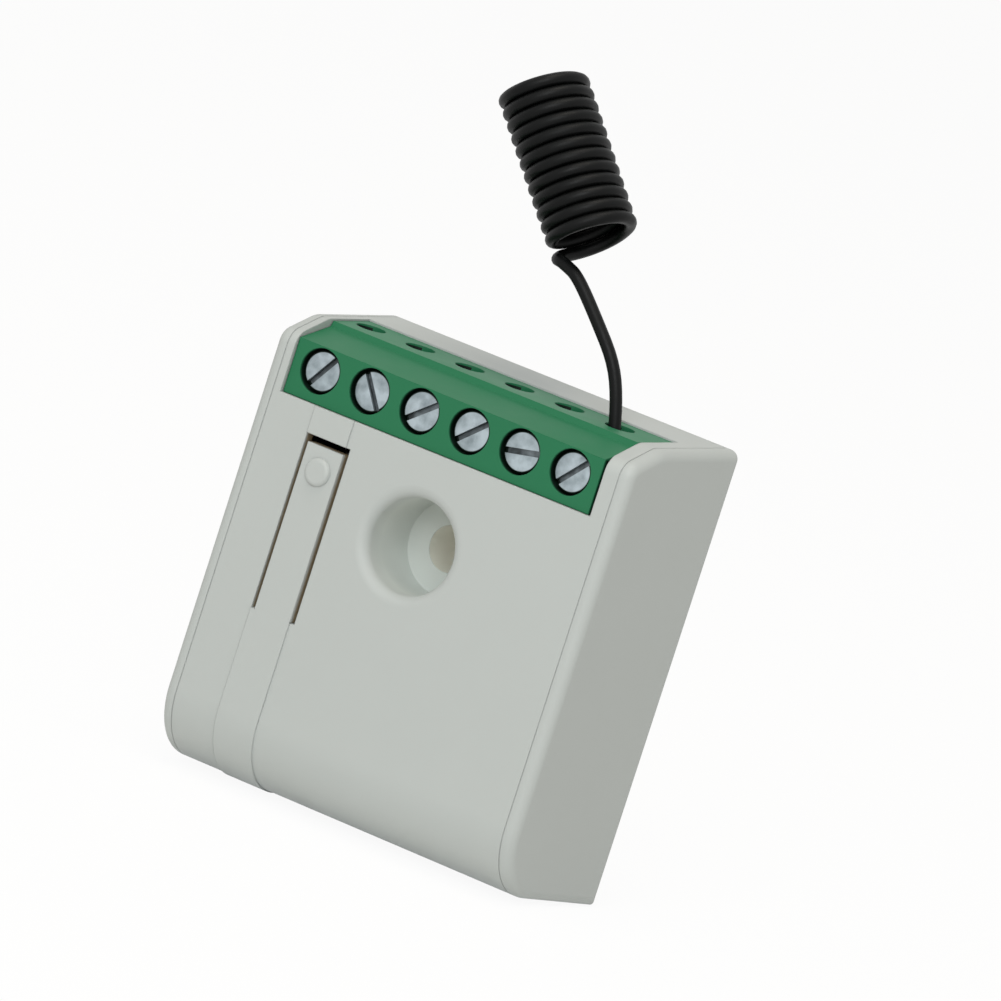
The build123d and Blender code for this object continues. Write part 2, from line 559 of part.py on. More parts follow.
with BuildPart() as switch_plunger:
    rod(BUTTON_X, PIP_Z, PLUNGER_RADIUS, (SWITCH_TIP, flange_front))
    rod(BUTTON_X, PIP_Z, PLUNGER_FLANGE_RADIUS, (flange_front, flange_front + PLUNGER_FLANGE))
save(switch_plunger.part, "switch_plunger")

with BuildPart() as switch_dome:
    rod(BUTTON_X, PIP_Z, PLUNGER_FLANGE_RADIUS, (well_back - DOME_THICK, well_back))
save(switch_dome.part, "switch_dome")

# Capacitors, surge protection and the fuse resistor
FILM_XS = (-5.6, -0.6)
FILM_ZS = (5.0, 15.5)
FILM_HEIGHT = 8.2
FILM_EDGE = 0.3
FILM_LEAD_INSET = 1.5
ELCO_INSET = 2.5  # from the left inner wall
ELCO_RADIUS = 3.15
ELCO_ZS = (3.4, 11.0)
ELCO_EDGE = 0.4
ELCO_LEAD_OUT = 1.0
ELCO_LEAD_X = 1.25  # from the middle
VARISTOR_ASIDE = 1.6  # to the left of the relay's middle
VARISTOR_ABOVE = 0.6  # above the relay
VARISTOR_RADIUS = 3.2
VARISTOR_THICK = 3.4
VARISTOR_EDGE = 1.0
VARISTOR_STANDS = 0.6  # off the board
VARISTOR_LEAD_X = 2.5  # from the middle
VARISTOR_LEAD_Z = 0.6
FUSE_X = 2.6
FUSE_RADIUS = 1.3
FUSE_ZS = (3.8, 10.3)
FUSE_EDGE = 0.4
FUSE_LEAD_OUT = 0.7
LEAD_RADIUS = 0.3
INSIDE = 0.5  # how far a lead runs into its part

ELCO_X = ELCO_INSET + ELCO_RADIUS - INNER_HALF
VARISTOR_X = RELAY_X - VARISTOR_ASIDE
VARISTOR_Z = relay_high_z + VARISTOR_ABOVE + VARISTOR_THICK / 2
film_middle = sum(FILM_XS) / 2
film_leads = [(film_middle, z) for z in (FILM_ZS[0] + FILM_LEAD_INSET, FILM_ZS[1] - FILM_LEAD_INSET)]
elco_depth = BOARD_DEPTH - ELCO_RADIUS - FIT_GAP
elco_lead_z = ELCO_ZS[1] + ELCO_LEAD_OUT
elco_leads = [(ELCO_X + side * ELCO_LEAD_X, elco_lead_z - LEAD_RADIUS) for side in (-1, 1)]
varistor_depth = BOARD_DEPTH - VARISTOR_RADIUS - VARISTOR_STANDS
varistor_leads = [(VARISTOR_X + side * VARISTOR_LEAD_X, VARISTOR_Z + side * VARISTOR_LEAD_Z)
                  for side in (-1, 1)]
fuse_depth = BOARD_DEPTH - FUSE_RADIUS - FIT_GAP
fuse_leads = [(FUSE_X, z) for z in (FUSE_ZS[0] - FUSE_LEAD_OUT, FUSE_ZS[1] + FUSE_LEAD_OUT)]

with BuildPart() as film_capacitor:
    brick(FILM_XS, (BOARD_DEPTH - FILM_HEIGHT, BOARD_DEPTH), FILM_ZS)
    fillet(film_capacitor.edges(), FILM_EDGE)
    for x, z in film_leads:
        rod(x, z, LEAD_RADIUS, (BOARD_DEPTH, pin_back))
save(film_capacitor.part, "film_capacitor")

with BuildPart() as electrolytic_capacitor:
    upright(ELCO_X, elco_depth, ELCO_RADIUS, ELCO_ZS)
    fillet(electrolytic_capacitor.edges().filter_by(GeomType.CIRCLE), ELCO_EDGE)
    for x, z in elco_leads:
        upright(x, elco_depth, LEAD_RADIUS, (ELCO_ZS[1] - INSIDE, elco_lead_z))
        rod(x, z, LEAD_RADIUS, (elco_depth, pin_back))
save(electrolytic_capacitor.part, "electrolytic_capacitor")

with BuildPart() as varistor:
    upright(VARISTOR_X, varistor_depth, VARISTOR_RADIUS,
            (VARISTOR_Z - VARISTOR_THICK / 2, VARISTOR_Z + VARISTOR_THICK / 2))
    fillet(varistor.edges().filter_by(GeomType.CIRCLE), VARISTOR_EDGE)
    for x, z in varistor_leads:
        rod(x, z, LEAD_RADIUS, (varistor_depth, pin_back))
save(varistor.part, "varistor")

with BuildPart() as fuse_resistor:
    upright(FUSE_X, fuse_depth, FUSE_RADIUS, FUSE_ZS)
    fillet(fuse_resistor.edges().filter_by(GeomType.CIRCLE), FUSE_EDGE)
    upright(FUSE_X, fuse_depth, LEAD_RADIUS,
            (fuse_leads[0][1] - LEAD_RADIUS, fuse_leads[1][1] + LEAD_RADIUS))
    for x, z in fuse_leads:
        rod(x, z, LEAD_RADIUS, (fuse_depth, pin_back))
save(fuse_resistor.part, "fuse_resistor")

# Transistor that switches the relay: a round body with one flat side on three leads
TRANSISTOR_X = 2.4
TRANSISTOR_Z = 12.9
TRANSISTOR_RADIUS = 2.3
TRANSISTOR_DEPTHS = (4.4, 9.2)
TRANSISTOR_FLAT = 1.2  # from the middle to the flat side
TRANSISTOR_SPACING = 1.27
TRANSISTOR_LEAD_RADIUS = 0.25

transistor_leads = [(TRANSISTOR_X + pin * TRANSISTOR_SPACING, TRANSISTOR_Z) for pin in (-1, 0, 1)]
with BuildPart() as relay_transistor:
    rod(TRANSISTOR_X, TRANSISTOR_Z, TRANSISTOR_RADIUS, TRANSISTOR_DEPTHS)
    brick((TRANSISTOR_X - TRANSISTOR_RADIUS, TRANSISTOR_X + TRANSISTOR_RADIUS),
          (TRANSISTOR_DEPTHS[0] - PAST, TRANSISTOR_DEPTHS[1] + PAST),
          (TRANSISTOR_Z - TRANSISTOR_RADIUS - PAST, TRANSISTOR_Z - TRANSISTOR_FLAT), mode=Mode.SUBTRACT)
    for x, z in transistor_leads:
        rod(x, z, TRANSISTOR_LEAD_RADIUS, (TRANSISTOR_DEPTHS[1], pin_back))
save(relay_transistor.part, "relay_transistor")

# Radio receiver: a small board on a pin header, with its chip and crystal
RADIO_INSET = 1.45  # from the left inner wall
RADIO_DROP = 16.4  # upper edge below the case's top
RADIO_HEIGHT = 7.2
RADIO_DEPTH = 7.6
RADIO_THICK = 0.8
HEADER_PINS = 4
HEADER_SPACING = 2.0
HEADER_PIN_RADIUS = 0.3
HEADER_INSET = 1.5  # first pin from the radio board's left edge
HEADER_RISE = 1.0  # pins from the radio board's lower edge
HEADER_HALF = 1.0  # half the header's height and its length past the outer pins
HEADER_PIN_OUT = 0.6
CHIP_THICK = 1.4
CHIP_SIZE = (4.0, 3.9)
CRYSTAL_THICK = 1.1
CRYSTAL_SIZE = (2.5, 4.0)
CRYSTAL_CORNER = 0.6
RADIO_PART_MARGIN = 0.9  # chip and crystal from the radio board's upper edge
CHIP_INSET = 1.2  # chip from the left edge
CRYSTAL_INSET = 0.5  # crystal from the right edge
RADIO_PART_GAP = 0.8  # between the chip and the crystal

RADIO_WIDTH = CHIP_INSET + CHIP_SIZE[0] + RADIO_PART_GAP + CRYSTAL_SIZE[0] + CRYSTAL_INSET
RADIO_XS = (RADIO_INSET - INNER_HALF, RADIO_INSET + RADIO_WIDTH - INNER_HALF)
RADIO_ZS = (CASE_HEIGHT - RADIO_DROP - RADIO_HEIGHT, CASE_HEIGHT - RADIO_DROP)
header_xs = [RADIO_XS[0] + HEADER_INSET + HEADER_SPACING * pin for pin in range(HEADER_PINS)]
header_z = RADIO_ZS[0] + HEADER_RISE
radio_back = RADIO_DEPTH + RADIO_THICK
radio_part_z = RADIO_ZS[1] - RADIO_PART_MARGIN
chip_left = RADIO_XS[0] + CHIP_INSET
crystal_right = RADIO_XS[1] - CRYSTAL_INSET

with BuildPart() as radio_board:
    brick(RADIO_XS, (RADIO_DEPTH, radio_back), RADIO_ZS)
    for x in header_xs:
        rod(x, header_z, HEADER_PIN_RADIUS + FIT_GAP, (RADIO_DEPTH - PAST, radio_back + PAST),
            mode=Mode.SUBTRACT)
save(radio_board.part, "radio_board")

with BuildPart() as radio_header:
    brick((header_xs[0] - HEADER_HALF, header_xs[-1] + HEADER_HALF), (radio_back, BOARD_DEPTH),
          (header_z - HEADER_HALF, header_z + HEADER_HALF))
    for x in header_xs:
        rod(x, header_z, HEADER_PIN_RADIUS, (RADIO_DEPTH - HEADER_PIN_OUT, pin_back))
save(radio_header.part, "radio_header")

with BuildPart() as radio_chip:
    brick((chip_left, chip_left + CHIP_SIZE[0]), (RADIO_DEPTH - CHIP_THICK, RADIO_DEPTH),
          (radio_part_z - CHIP_SIZE[1], radio_part_z))
save(radio_chip.part, "radio_chip")

with BuildPart() as radio_crystal:
    brick((crystal_right - CRYSTAL_SIZE[0], crystal_right), (RADIO_DEPTH - CRYSTAL_THICK, RADIO_DEPTH),
          (radio_part_z - CRYSTAL_SIZE[1], radio_part_z))
    fillet(radio_crystal.edges().filter_by(Axis.Y), CRYSTAL_CORNER)
save(radio_crystal.part, "radio_crystal")

# Controller chip, rectifier diodes and small chip parts behind the board
CONTROLLER_ASIDE = 3.7  # to the left of the relay's middle
CONTROLLER_Z = 10.2
CONTROLLER_HALF_WIDTH = 1.95
CONTROLLER_HALF_LENGTH = 4.3
CONTROLLER_STANDS = 0.1
CONTROLLER_ROWS = 7
CONTROLLER_SPACING = 1.27
CONTROLLER_FOOT_REACH = 3.0  # from the middle
CONTROLLER_FOOT_THICK = 0.6
CONTROLLER_FOOT_HALF = 0.2
DIODE_INSET = 7.65  # middle of the four diodes from the left inner wall
DIODE_Z = 7.4
DIODE_SPREAD_X = 1.85
DIODE_SPREAD_Z = 1.6
DIODE_HALF_WIDTH = 1.6
DIODE_HALF_LENGTH = 1.2
DIODE_THICK = 1.3
CHIP_PART_COLUMNS = 4
CHIP_PART_ROWS = 2
CHIP_PART_INSET = 3.45  # first column from the left inner wall
CHIP_PART_DROP = 19.6  # first row below the case's top
CHIP_PART_STEP_X = 2.4
CHIP_PART_STEP_Z = 3.0
CHIP_PART_HALF_WIDTH = 0.4
CHIP_PART_HALF_LENGTH = 0.8
CHIP_PART_THICK = 0.5

CONTROLLER_X = RELAY_X - CONTROLLER_ASIDE
DIODE_X = DIODE_INSET - INNER_HALF
controller_front = BOARD_BACK + CONTROLLER_STANDS
with BuildPart() as controller_chip:
    brick((CONTROLLER_X - CONTROLLER_HALF_WIDTH, CONTROLLER_X + CONTROLLER_HALF_WIDTH),
          (controller_front, controller_front + CHIP_THICK),
          (CONTROLLER_Z - CONTROLLER_HALF_LENGTH, CONTROLLER_Z + CONTROLLER_HALF_LENGTH))
    for row in range(CONTROLLER_ROWS):
        foot_z = CONTROLLER_Z + (row - (CONTROLLER_ROWS - 1) / 2) * CONTROLLER_SPACING
        brick((CONTROLLER_X - CONTROLLER_FOOT_REACH, CONTROLLER_X + CONTROLLER_FOOT_REACH),
              (BOARD_BACK, BOARD_BACK + CONTROLLER_FOOT_THICK),
              (foot_z - CONTROLLER_FOOT_HALF, foot_z + CONTROLLER_FOOT_HALF))
save(controller_chip.part, "controller_chip")

with BuildPart() as rectifier_diodes:
    for side in (-1, 1):
        for end in (-1, 1):
            diode_x = DIODE_X + side * DIODE_SPREAD_X
            diode_z = DIODE_Z + end * DIODE_SPREAD_Z
            brick((diode_x - DIODE_HALF_WIDTH, diode_x + DIODE_HALF_WIDTH),
                  (BOARD_BACK, BOARD_BACK + DIODE_THICK),
                  (diode_z - DIODE_HALF_LENGTH, diode_z + DIODE_HALF_LENGTH))
save(rectifier_diodes.part, "rectifier_diodes")

with BuildPart() as chip_parts:
    for column in range(CHIP_PART_COLUMNS):
        for row in range(CHIP_PART_ROWS):
            part_x = CHIP_PART_INSET - INNER_HALF + column * CHIP_PART_STEP_X
            part_z = CASE_HEIGHT - CHIP_PART_DROP + row * CHIP_PART_STEP_Z
            brick((part_x - CHIP_PART_HALF_WIDTH, part_x + CHIP_PART_HALF_WIDTH),
                  (BOARD_BACK, BOARD_BACK + CHIP_PART_THICK),
                  (part_z - CHIP_PART_HALF_LENGTH, part_z + CHIP_PART_HALF_LENGTH))
save(chip_parts.part, "chip_parts")

# Circuit board, drilled for everything that passes through it
HOLE_PLAY = 0.2
LEG_HOLE_RADIUS = 0.8  # for the flat legs

drilled = [(x, CELL_LOW_Z + BAR_THICK / 2, LEG_HOLE_RADIUS) for x in WAY_X]
drilled += [(RELAY_X, z + BLADE_THICK / 2, LEG_HOLE_RADIUS) for z in (open_blade_z, closed_blade_z)]
drilled += [(x, z, SWITCH_LEG_RADIUS + HOLE_PLAY) for x, z in switch_legs]
for x, z in film_leads + elco_leads + varistor_leads + fuse_leads:
    drilled.append((x, z, LEAD_RADIUS + HOLE_PLAY))
drilled += [(x, z, TRANSISTOR_LEAD_RADIUS + HOLE_PLAY) for x, z in transistor_leads]
drilled += [(x, header_z, HEADER_PIN_RADIUS + HOLE_PLAY) for x in header_xs]
drilled += [(x, z, POST_PIN_RADIUS + FIT_GAP) for x, z in POSTS]
drilled += [(WELL_X, WELL_Z, SPIGOT_RADIUS + HOLE_PLAY)]

with BuildPart() as circuit_board:
    with BuildSketch(facing_front(BOARD_BACK)):
        with Locations((0, (BOARD_LOW_Z + BOARD_HIGH_Z) / 2)):
            RectangleRounded(2 * BOARD_HALF_WIDTH, BOARD_HIGH_Z - BOARD_LOW_Z, BOARD_CORNER)
        for hole_x, hole_z, hole_radius in drilled:
            with Locations((hole_x, hole_z)):
                Circle(hole_radius, mode=Mode.SUBTRACT)
    extrude(amount=BOARD_THICK)
save(circuit_board.part, "circuit_board")


# Antenna: a wire out of the last entry, wound into a close coil
def unit(vector):
    """Vector of length one."""
    return vector / vector.length


lean_left = radians(COIL_LEAN_LEFT)
lean_back = radians(COIL_LEAN_BACK)
coil_axis = unit(Vector(-sin(lean_left), sin(lean_back), cos(lean_left) * cos(lean_back)))
coil_base = Vector(COIL_BASE[0], y_at(COIL_BASE[1]), COIL_BASE[2])
VIEW_LEFT = Vector(-0.81, -0.50, -0.30)  # to the left as the photograph looks at the coil
coil_left = unit(VIEW_LEFT - coil_axis * VIEW_LEFT.dot(coil_axis))
coil_back = coil_left.cross(coil_axis)


def helix(turn):
    """Point and direction of the wire after a number of turns; the coil climbs as it turns."""
    angle = radians(COIL_START) + 2 * pi * turn
    spot = coil_base + coil_axis * (COIL_PITCH * turn)
    spot += coil_left * (COIL_RADIUS * cos(angle)) + coil_back * (COIL_RADIUS * sin(angle))
    way_round = coil_back * cos(angle) - coil_left * sin(angle)
    return spot, unit(way_round * (2 * pi * COIL_RADIUS) + coil_axis * COIL_PITCH)


coil_start, coil_heading = helix(0)
lead_end = coil_start - coil_heading * COIL_WIRE

antenna_x = WAY_X[-1] - ANTENNA_OFF
antenna_depth = BAR_BACK + CLAMP_SLIP + WIRE / 2
# Hand-placed corners of the lead between its clamp and the coil: x, depth, height
LEAD_ROUTE = [
    (10.24, 7.7, 41.77),
    (8.82, 7.8, 44.52),
    (6.13, 7.85, 47.18),
    (3.98, 7.9, 49.21),
    (2.82, 7.83, 50.16),
    (2.04, 8.01, 50.4),
    (0.91, 8.09, 50.75),
    (0.13, 8.97, 50.61),
]
lead_points = [Vector(antenna_x, y_at(antenna_depth), z) for z in LEAD_FOOT_ZS]
lead_points += [Vector(x, y_at(depth), z) for x, depth, z in LEAD_ROUTE]
lead_points += [lead_end - coil_heading * LEAD_RUN_IN, lead_end]


def corner_radii(points):
    """Largest tangent arcs that the runs on both sides of each corner have room for."""
    radii = []
    for before, corner, after in zip(points, points[1:], points[2:]):
        shorter = min((corner - before).length, (after - corner).length)
        half_turn = radians((corner - before).get_angle(after - corner)) / 2
        radii.append(0.45 * shorter / tan(half_turn))
    return radii


lead_radii = corner_radii(lead_points)
print("lead radii in wire diameters:", [round(radius / WIRE, 2) for radius in lead_radii])

with BuildPart() as antenna_lead:
    with BuildLine() as lead_path:
        FilletPolyline(*lead_points, radius=lead_radii)
    with BuildSketch(Plane(origin=lead_points[0], z_dir=(0, 0, 1))):
        Circle(WIRE / 2)
    sweep(path=lead_path.wires()[0])
lead_length = lead_path.wires()[0].length
print("lead length", round(lead_length, 2), "volume ratio",
      round(antenna_lead.part.volume / (pi * (WIRE / 2) ** 2 * lead_length), 4))
save(antenna_lead.part, "antenna_lead")


def biarc_joint(start, start_way, end, end_way):
    """Middle point of two arcs that leave one point and reach another in the given directions."""
    chord = end - start
    both = start_way + end_way
    spread = 2 * (1 - start_way.dot(end_way))
    lean = chord.dot(both)
    reach = (-lean + sqrt(lean * lean + spread * chord.dot(chord))) / spread
    ahead = start + start_way * reach
    behind = end - end_way * reach
    return (ahead + behind) / 2, unit(behind - ahead)


QUARTERS = COIL_TURNS * 4
with BuildPart() as antenna_coil:
    with BuildLine() as coil_path:
        Line(lead_end, coil_start)
        for quarter in range(QUARTERS):
            here, here_way = helix(quarter / 4)
            there, there_way = helix((quarter + 1) / 4)
            joint, joint_way = biarc_joint(here, here_way, there, there_way)
            TangentArc(here, joint, tangent=here_way)
            TangentArc(joint, there, tangent=joint_way)
        coil_end, end_way = helix(COIL_TURNS)
        Line(coil_end, coil_end + end_way * COIL_WIRE)
    with BuildSketch(Plane(origin=lead_end, z_dir=coil_heading)):
        Circle(COIL_WIRE / 2)
    sweep(path=coil_path.wires()[0])
coil_length = coil_path.wires()[0].length
print("coil length", round(coil_length, 1), "volume ratio",
      round(antenna_coil.part.volume / (pi * (COIL_WIRE / 2) ** 2 * coil_length), 4))
save(antenna_coil.part, "antenna_coil")

# Least gap of the coil to itself, between points at least a third of a turn apart
STEPS_PER_TURN = 60
spots = [helix(step / STEPS_PER_TURN)[0] for step in range(COIL_TURNS * STEPS_PER_TURN + 1)]
least_gap = min(
    (one - other).length - COIL_WIRE
    for index, one in enumerate(spots)
    for other in spots[index + STEPS_PER_TURN // 3: index + 2 * STEPS_PER_TURN]
)
print("least gap of the coil to itself", round(least_gap, 3))
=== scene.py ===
"""Relay receiver module: materials, wire antenna, small fittings, light and camera.

In the frame of the CAD model: X to the right, Y to the back, Z up, terminals on top. Sizes are
in metres where nothing else is said, depths run from the plane of the front face to the back.
"""

import logging
import math
from dataclasses import dataclass, field, replace
from enum import Enum
from functools import cached_property
from typing import Any, Callable, Iterable, Mapping, Sequence

import bmesh
import bpy
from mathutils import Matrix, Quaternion, Vector


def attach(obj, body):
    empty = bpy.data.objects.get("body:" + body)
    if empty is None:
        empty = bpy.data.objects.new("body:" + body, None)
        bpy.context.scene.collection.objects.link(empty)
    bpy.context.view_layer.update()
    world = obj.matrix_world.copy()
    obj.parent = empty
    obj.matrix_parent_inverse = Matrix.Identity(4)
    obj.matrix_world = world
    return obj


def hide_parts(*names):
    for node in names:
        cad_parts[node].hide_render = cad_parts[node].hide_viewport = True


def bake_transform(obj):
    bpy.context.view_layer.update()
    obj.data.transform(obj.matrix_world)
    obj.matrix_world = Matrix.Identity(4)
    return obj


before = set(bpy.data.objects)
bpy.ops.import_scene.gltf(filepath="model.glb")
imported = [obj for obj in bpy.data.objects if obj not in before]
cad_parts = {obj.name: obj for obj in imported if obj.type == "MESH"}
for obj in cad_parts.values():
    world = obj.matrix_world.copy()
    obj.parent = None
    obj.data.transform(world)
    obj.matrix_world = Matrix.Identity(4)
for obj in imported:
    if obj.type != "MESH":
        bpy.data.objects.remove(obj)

log = logging.getLogger("relay_module")

MM = 0.001
FRONT_Y = -8.39 * MM  # plane of the front face

# Millimetres
TERMINAL_FIRST = -13.2  # x of the first terminal's axis
TERMINAL_PITCH = 5.08
SCREW_HEIGHT = 35.75
BOARD_FRONT = 11.6  # depth of the circuit board's front face
BOARD_BACK = 12.8

TERMINALS = range(1, 7)
MIDDLE = (0.3, 0.7)  # where most values of a noise lie

Colour = tuple[float, float, float]
Corner = tuple[float, float, float]
Span = tuple[float, float]
Shades = tuple[Colour, Colour]
Sockets = Mapping[str | int, Any]
Material, Mesh, Piece = bpy.types.Material, bpy.types.Mesh, bpy.types.Object
Work = bmesh.types.BMesh  # a mesh under construction


def rgb(red: int, green: int, blue: int) -> Colour:
    """Linear colour of the 0 to 255 values that a screen shows."""
    def linear(value: int) -> float:
        """One channel of it."""
        share = value / 255
        return share / 12.92 if share <= 0.04045 else ((share + 0.055) / 1.055) ** 2.4
    return linear(red), linear(green), linear(blue)


def shades(colour: Colour, share: float) -> Shades:
    """A darker and a lighter shade of a colour, by that share of it."""
    dark, light = (tuple(min(1.0, value * (1 + change)) for value in colour)
                   for change in (-share, share))
    return dark, light


def at(x: float, depth: float, z: float) -> Vector:
    """Point given by x, depth and height, all in millimetres."""
    return Vector((x * MM, FRONT_Y + depth * MM, z * MM))


class Axis(Enum):
    """Axes of the frame, by their number in a vector."""

    X = 0
    Y = 1
    Z = 2


class Bench:
    """A node tree under construction, of a material, a world or Geometry Nodes."""

    def __init__(self, tree: bpy.types.NodeTree) -> None:
        """Keeps the tree.

        Args:
            tree: The node tree that new nodes go into.
        """
        self.tree = tree

    def node(self, kind: str, sockets: Sockets | None = None, **settings: Any) -> bpy.types.Node:
        """Adds a node.

        Args:
            kind: The node's type name.
            sockets: Inputs by name or number; a Signal is linked, anything else is set.
            **settings: The node's own properties.

        Returns:
            The new node.
        """
        new = self.tree.nodes.new(kind)
        for name, value in settings.items():
            setattr(new, name, value)
        for key, value in (sockets or {}).items():
            if isinstance(value, Signal):
                self.tree.links.new(value.socket, new.inputs[key])
            else:
                new.inputs[key].default_value = value
        return new

    def signal(self, kind: str, sockets: Sockets | None = None, output: str | int = 0,
               **settings: Any) -> "Signal":
        """Adds a node and returns one of its outputs as a signal."""
        return Signal(self, self.node(kind, sockets, **settings).outputs[output])

    def vector(self, *parts: "Signal | float") -> "Signal":
        """Vector of up to three numbers."""
        return self.signal("ShaderNodeCombineXYZ", dict(enumerate(parts)))

    def blend(self, factor: "Signal | float", low: "Signal | Colour",
              high: "Signal | Colour") -> "Signal":
        """Colour between two colours.

        Args:
            factor: 0 gives the first colour and 1 the second.
            low: First colour.
            high: Second colour.

        Returns:
            The blended colour.
        """
        first, second = (colour if isinstance(colour, Signal) else (*colour, 1.0)
                         for colour in (low, high))
        return self.signal("ShaderNodeMix", {0: factor, 6: first, 7: second}, 2, data_type="RGBA")


def reckoning(operation: str, reflected: bool = False) -> Callable[..., "Signal"]:
    """Makes a method of Signal that adds a Math node.

    Args:
        operation: The Math node's operation.
        reflected: Whether the other operand comes first.

    Returns:
        The method.
    """
    def method(signal: "Signal", other: "Signal | float" = 0.0) -> "Signal":
        """Reckons with a signal or number, or alone where the operation takes no other."""
        first, second = (other, signal) if reflected else (signal, other)
        return signal.bench.signal("ShaderNodeMath", {0: first, 1: second}, operation=operation)
    return method


class Signal:
    """An output socket that can be reckoned with as a number; comparisons give 1 or 0."""

    __add__, __radd__ = reckoning("ADD"), reckoning("ADD", True)
    __sub__, __rsub__ = reckoning("SUBTRACT"), reckoning("SUBTRACT", True)
    __mul__, __rmul__ = reckoning("MULTIPLY"), reckoning("MULTIPLY", True)
    __truediv__, __rtruediv__ = reckoning("DIVIDE"), reckoning("DIVIDE", True)
    __gt__, __lt__ = reckoning("GREATER_THAN"), reckoning("LESS_THAN")
    __abs__, root = reckoning("ABSOLUTE"), reckoning("SQRT")
    whole, fraction = reckoning("FLOOR"), reckoning("FRACT")
    largest = reckoning("MAXIMUM")

    def __init__(self, bench: Bench, socket: bpy.types.NodeSocket) -> None:
        """Keeps the socket and the bench that its node stands on."""
        self.bench = bench
        self.socket = socket

    def within(self, span: Span) -> "Signal":
        """1 between the two ends of a span, else 0."""
        return (self > span[0]) * (self < span[1])

    def ramp(self, start: float, end: float, low: float = 0.0, high: float = 1.0) -> "Signal":
        """Straight rise from low to high while this goes from start to end, held outside."""
        return self.bench.signal("ShaderNodeMapRange", {0: self, 1: start, 2: end, 3: low, 4: high},
                                 clamp=True)


class MaterialBench(Bench):
    """The node tree of one new material."""

    def __init__(self, name: str) -> None:
        """Makes an empty material of that name."""
        self.material = bpy.data.materials.new(name)
        self.material.use_nodes = True
        self.material.node_tree.nodes.clear()
        super().__init__(self.material.node_tree)

    @cached_property
    def place(self) -> Signal:
        """Object coordinates."""
        return self.signal("ShaderNodeTexCoord", output="Object")

    def along(self, axis: Axis) -> Signal:
        """Place along one axis."""
        return self.signal("ShaderNodeSeparateXYZ", {0: self.place}, axis.value)

    def spot(self) -> tuple[Signal, Signal, Signal]:
        """X, depth and height."""
        return self.along(Axis.X), self.along(Axis.Y) - FRONT_Y, self.along(Axis.Z)

    def noise(self, size: float, detail: float = 2.0, stretch: Corner | None = None) -> Signal:
        """Cloudy pattern from 0 to 1.

        Args:
            size: Size of its patches.
            detail: Number of finer layers.
            stretch: Scale of the place along each axis, where it isn't even.

        Returns:
            The pattern.
        """
        place = self.place
        if stretch:
            place = self.signal("ShaderNodeVectorMath", {0: place, 1: stretch},
                                operation="MULTIPLY")
        return self.signal("ShaderNodeTexNoise", {
            "Vector": place, "Scale": 1 / size, "Detail": detail})

    def relief(self, height: Signal, depth: float, edge: float = 0.0) -> Signal:
        """Normal of a surface with a fine relief and softened edges.

        Args:
            height: Relief from 0 to 1.
            depth: Depth of the relief.
            edge: Radius of the softened edges; 0 keeps them sharp.

        Returns:
            The normal.
        """
        sockets = {"Strength": 1.0, "Distance": depth, "Height": height}
        if edge:
            sockets["Normal"] = self.signal("ShaderNodeBevel", {"Radius": edge}, samples=4)
        return self.signal("ShaderNodeBump", sockets)

    def shade(self, **sockets: Any) -> Material:
        """Ends the tree in a Principled shader.

        Args:
            **sockets: Its inputs, with spaces in their names written as underscores.

        Returns:
            The finished material.
        """
        named = {key.replace("_", " "): value for key, value in sockets.items()}
        shader = self.signal("ShaderNodeBsdfPrincipled", named)
        self.node("ShaderNodeOutputMaterial", {"Surface": shader})
        return self.material


@dataclass(frozen=True)
class Finish:
    """A finish, which can build its material.

    Args:
        name: Name of the material.
    """

    name: str

    def make(self) -> Material:
        """Builds the material."""
        raise NotImplementedError

    def shadowed(self, bench: MaterialBench, colour: Signal) -> Signal:
        """Colour with painted shade or light at slots, holes and recesses, some of it dirty-looking
        too; clean where a piece shows none.

        Args:
            bench: The material under construction.
            colour: Colour of the clean piece.

        Returns:
            The colour to use.
        """
        return colour


@dataclass(frozen=True)
class MouldedPlastic(Finish):
    """Moulded plastic with a fine eroded texture and a faint cloudiness.

    Args:
        colour: Colour of the plastic.
        roughness: Mean roughness.
        grain: Size of the texture's grains.
        grain_depth: Depth of the texture.
        cloud: How much lighter and darker its patches are, as a share.
        edge: Radius of the softened edges.
        gloss: Specular level.
        patch: Size of the patches.
        fine: Share of the grain in the cloudiness.
        swing: How far the roughness goes to each side of its mean.
    """

    colour: Colour
    roughness: float = 0.5
    grain: float = 0.16 * MM
    grain_depth: float = 0.004 * MM
    cloud: float = 0.04
    edge: float = 0.12 * MM
    gloss: float = 0.45
    patch: float = 6.0 * MM
    fine: float = 0.3
    swing: float = 0.05

    def make(self) -> Material:
        """Builds the material."""
        bench = MaterialBench(self.name)
        patches = bench.noise(self.patch, 3)
        grain = bench.noise(self.grain, 2)
        clouds = patches * (1 - self.fine) + grain * self.fine
        colour = self.shadowed(bench, bench.blend(clouds, *shades(self.colour, self.cloud)))
        roughness = patches.ramp(*MIDDLE, self.roughness - self.swing, self.roughness + self.swing)
        return bench.shade(Base_Color=colour, Roughness=roughness, Specular_IOR_Level=self.gloss,
                           Normal=bench.relief(grain, self.grain_depth, self.edge))


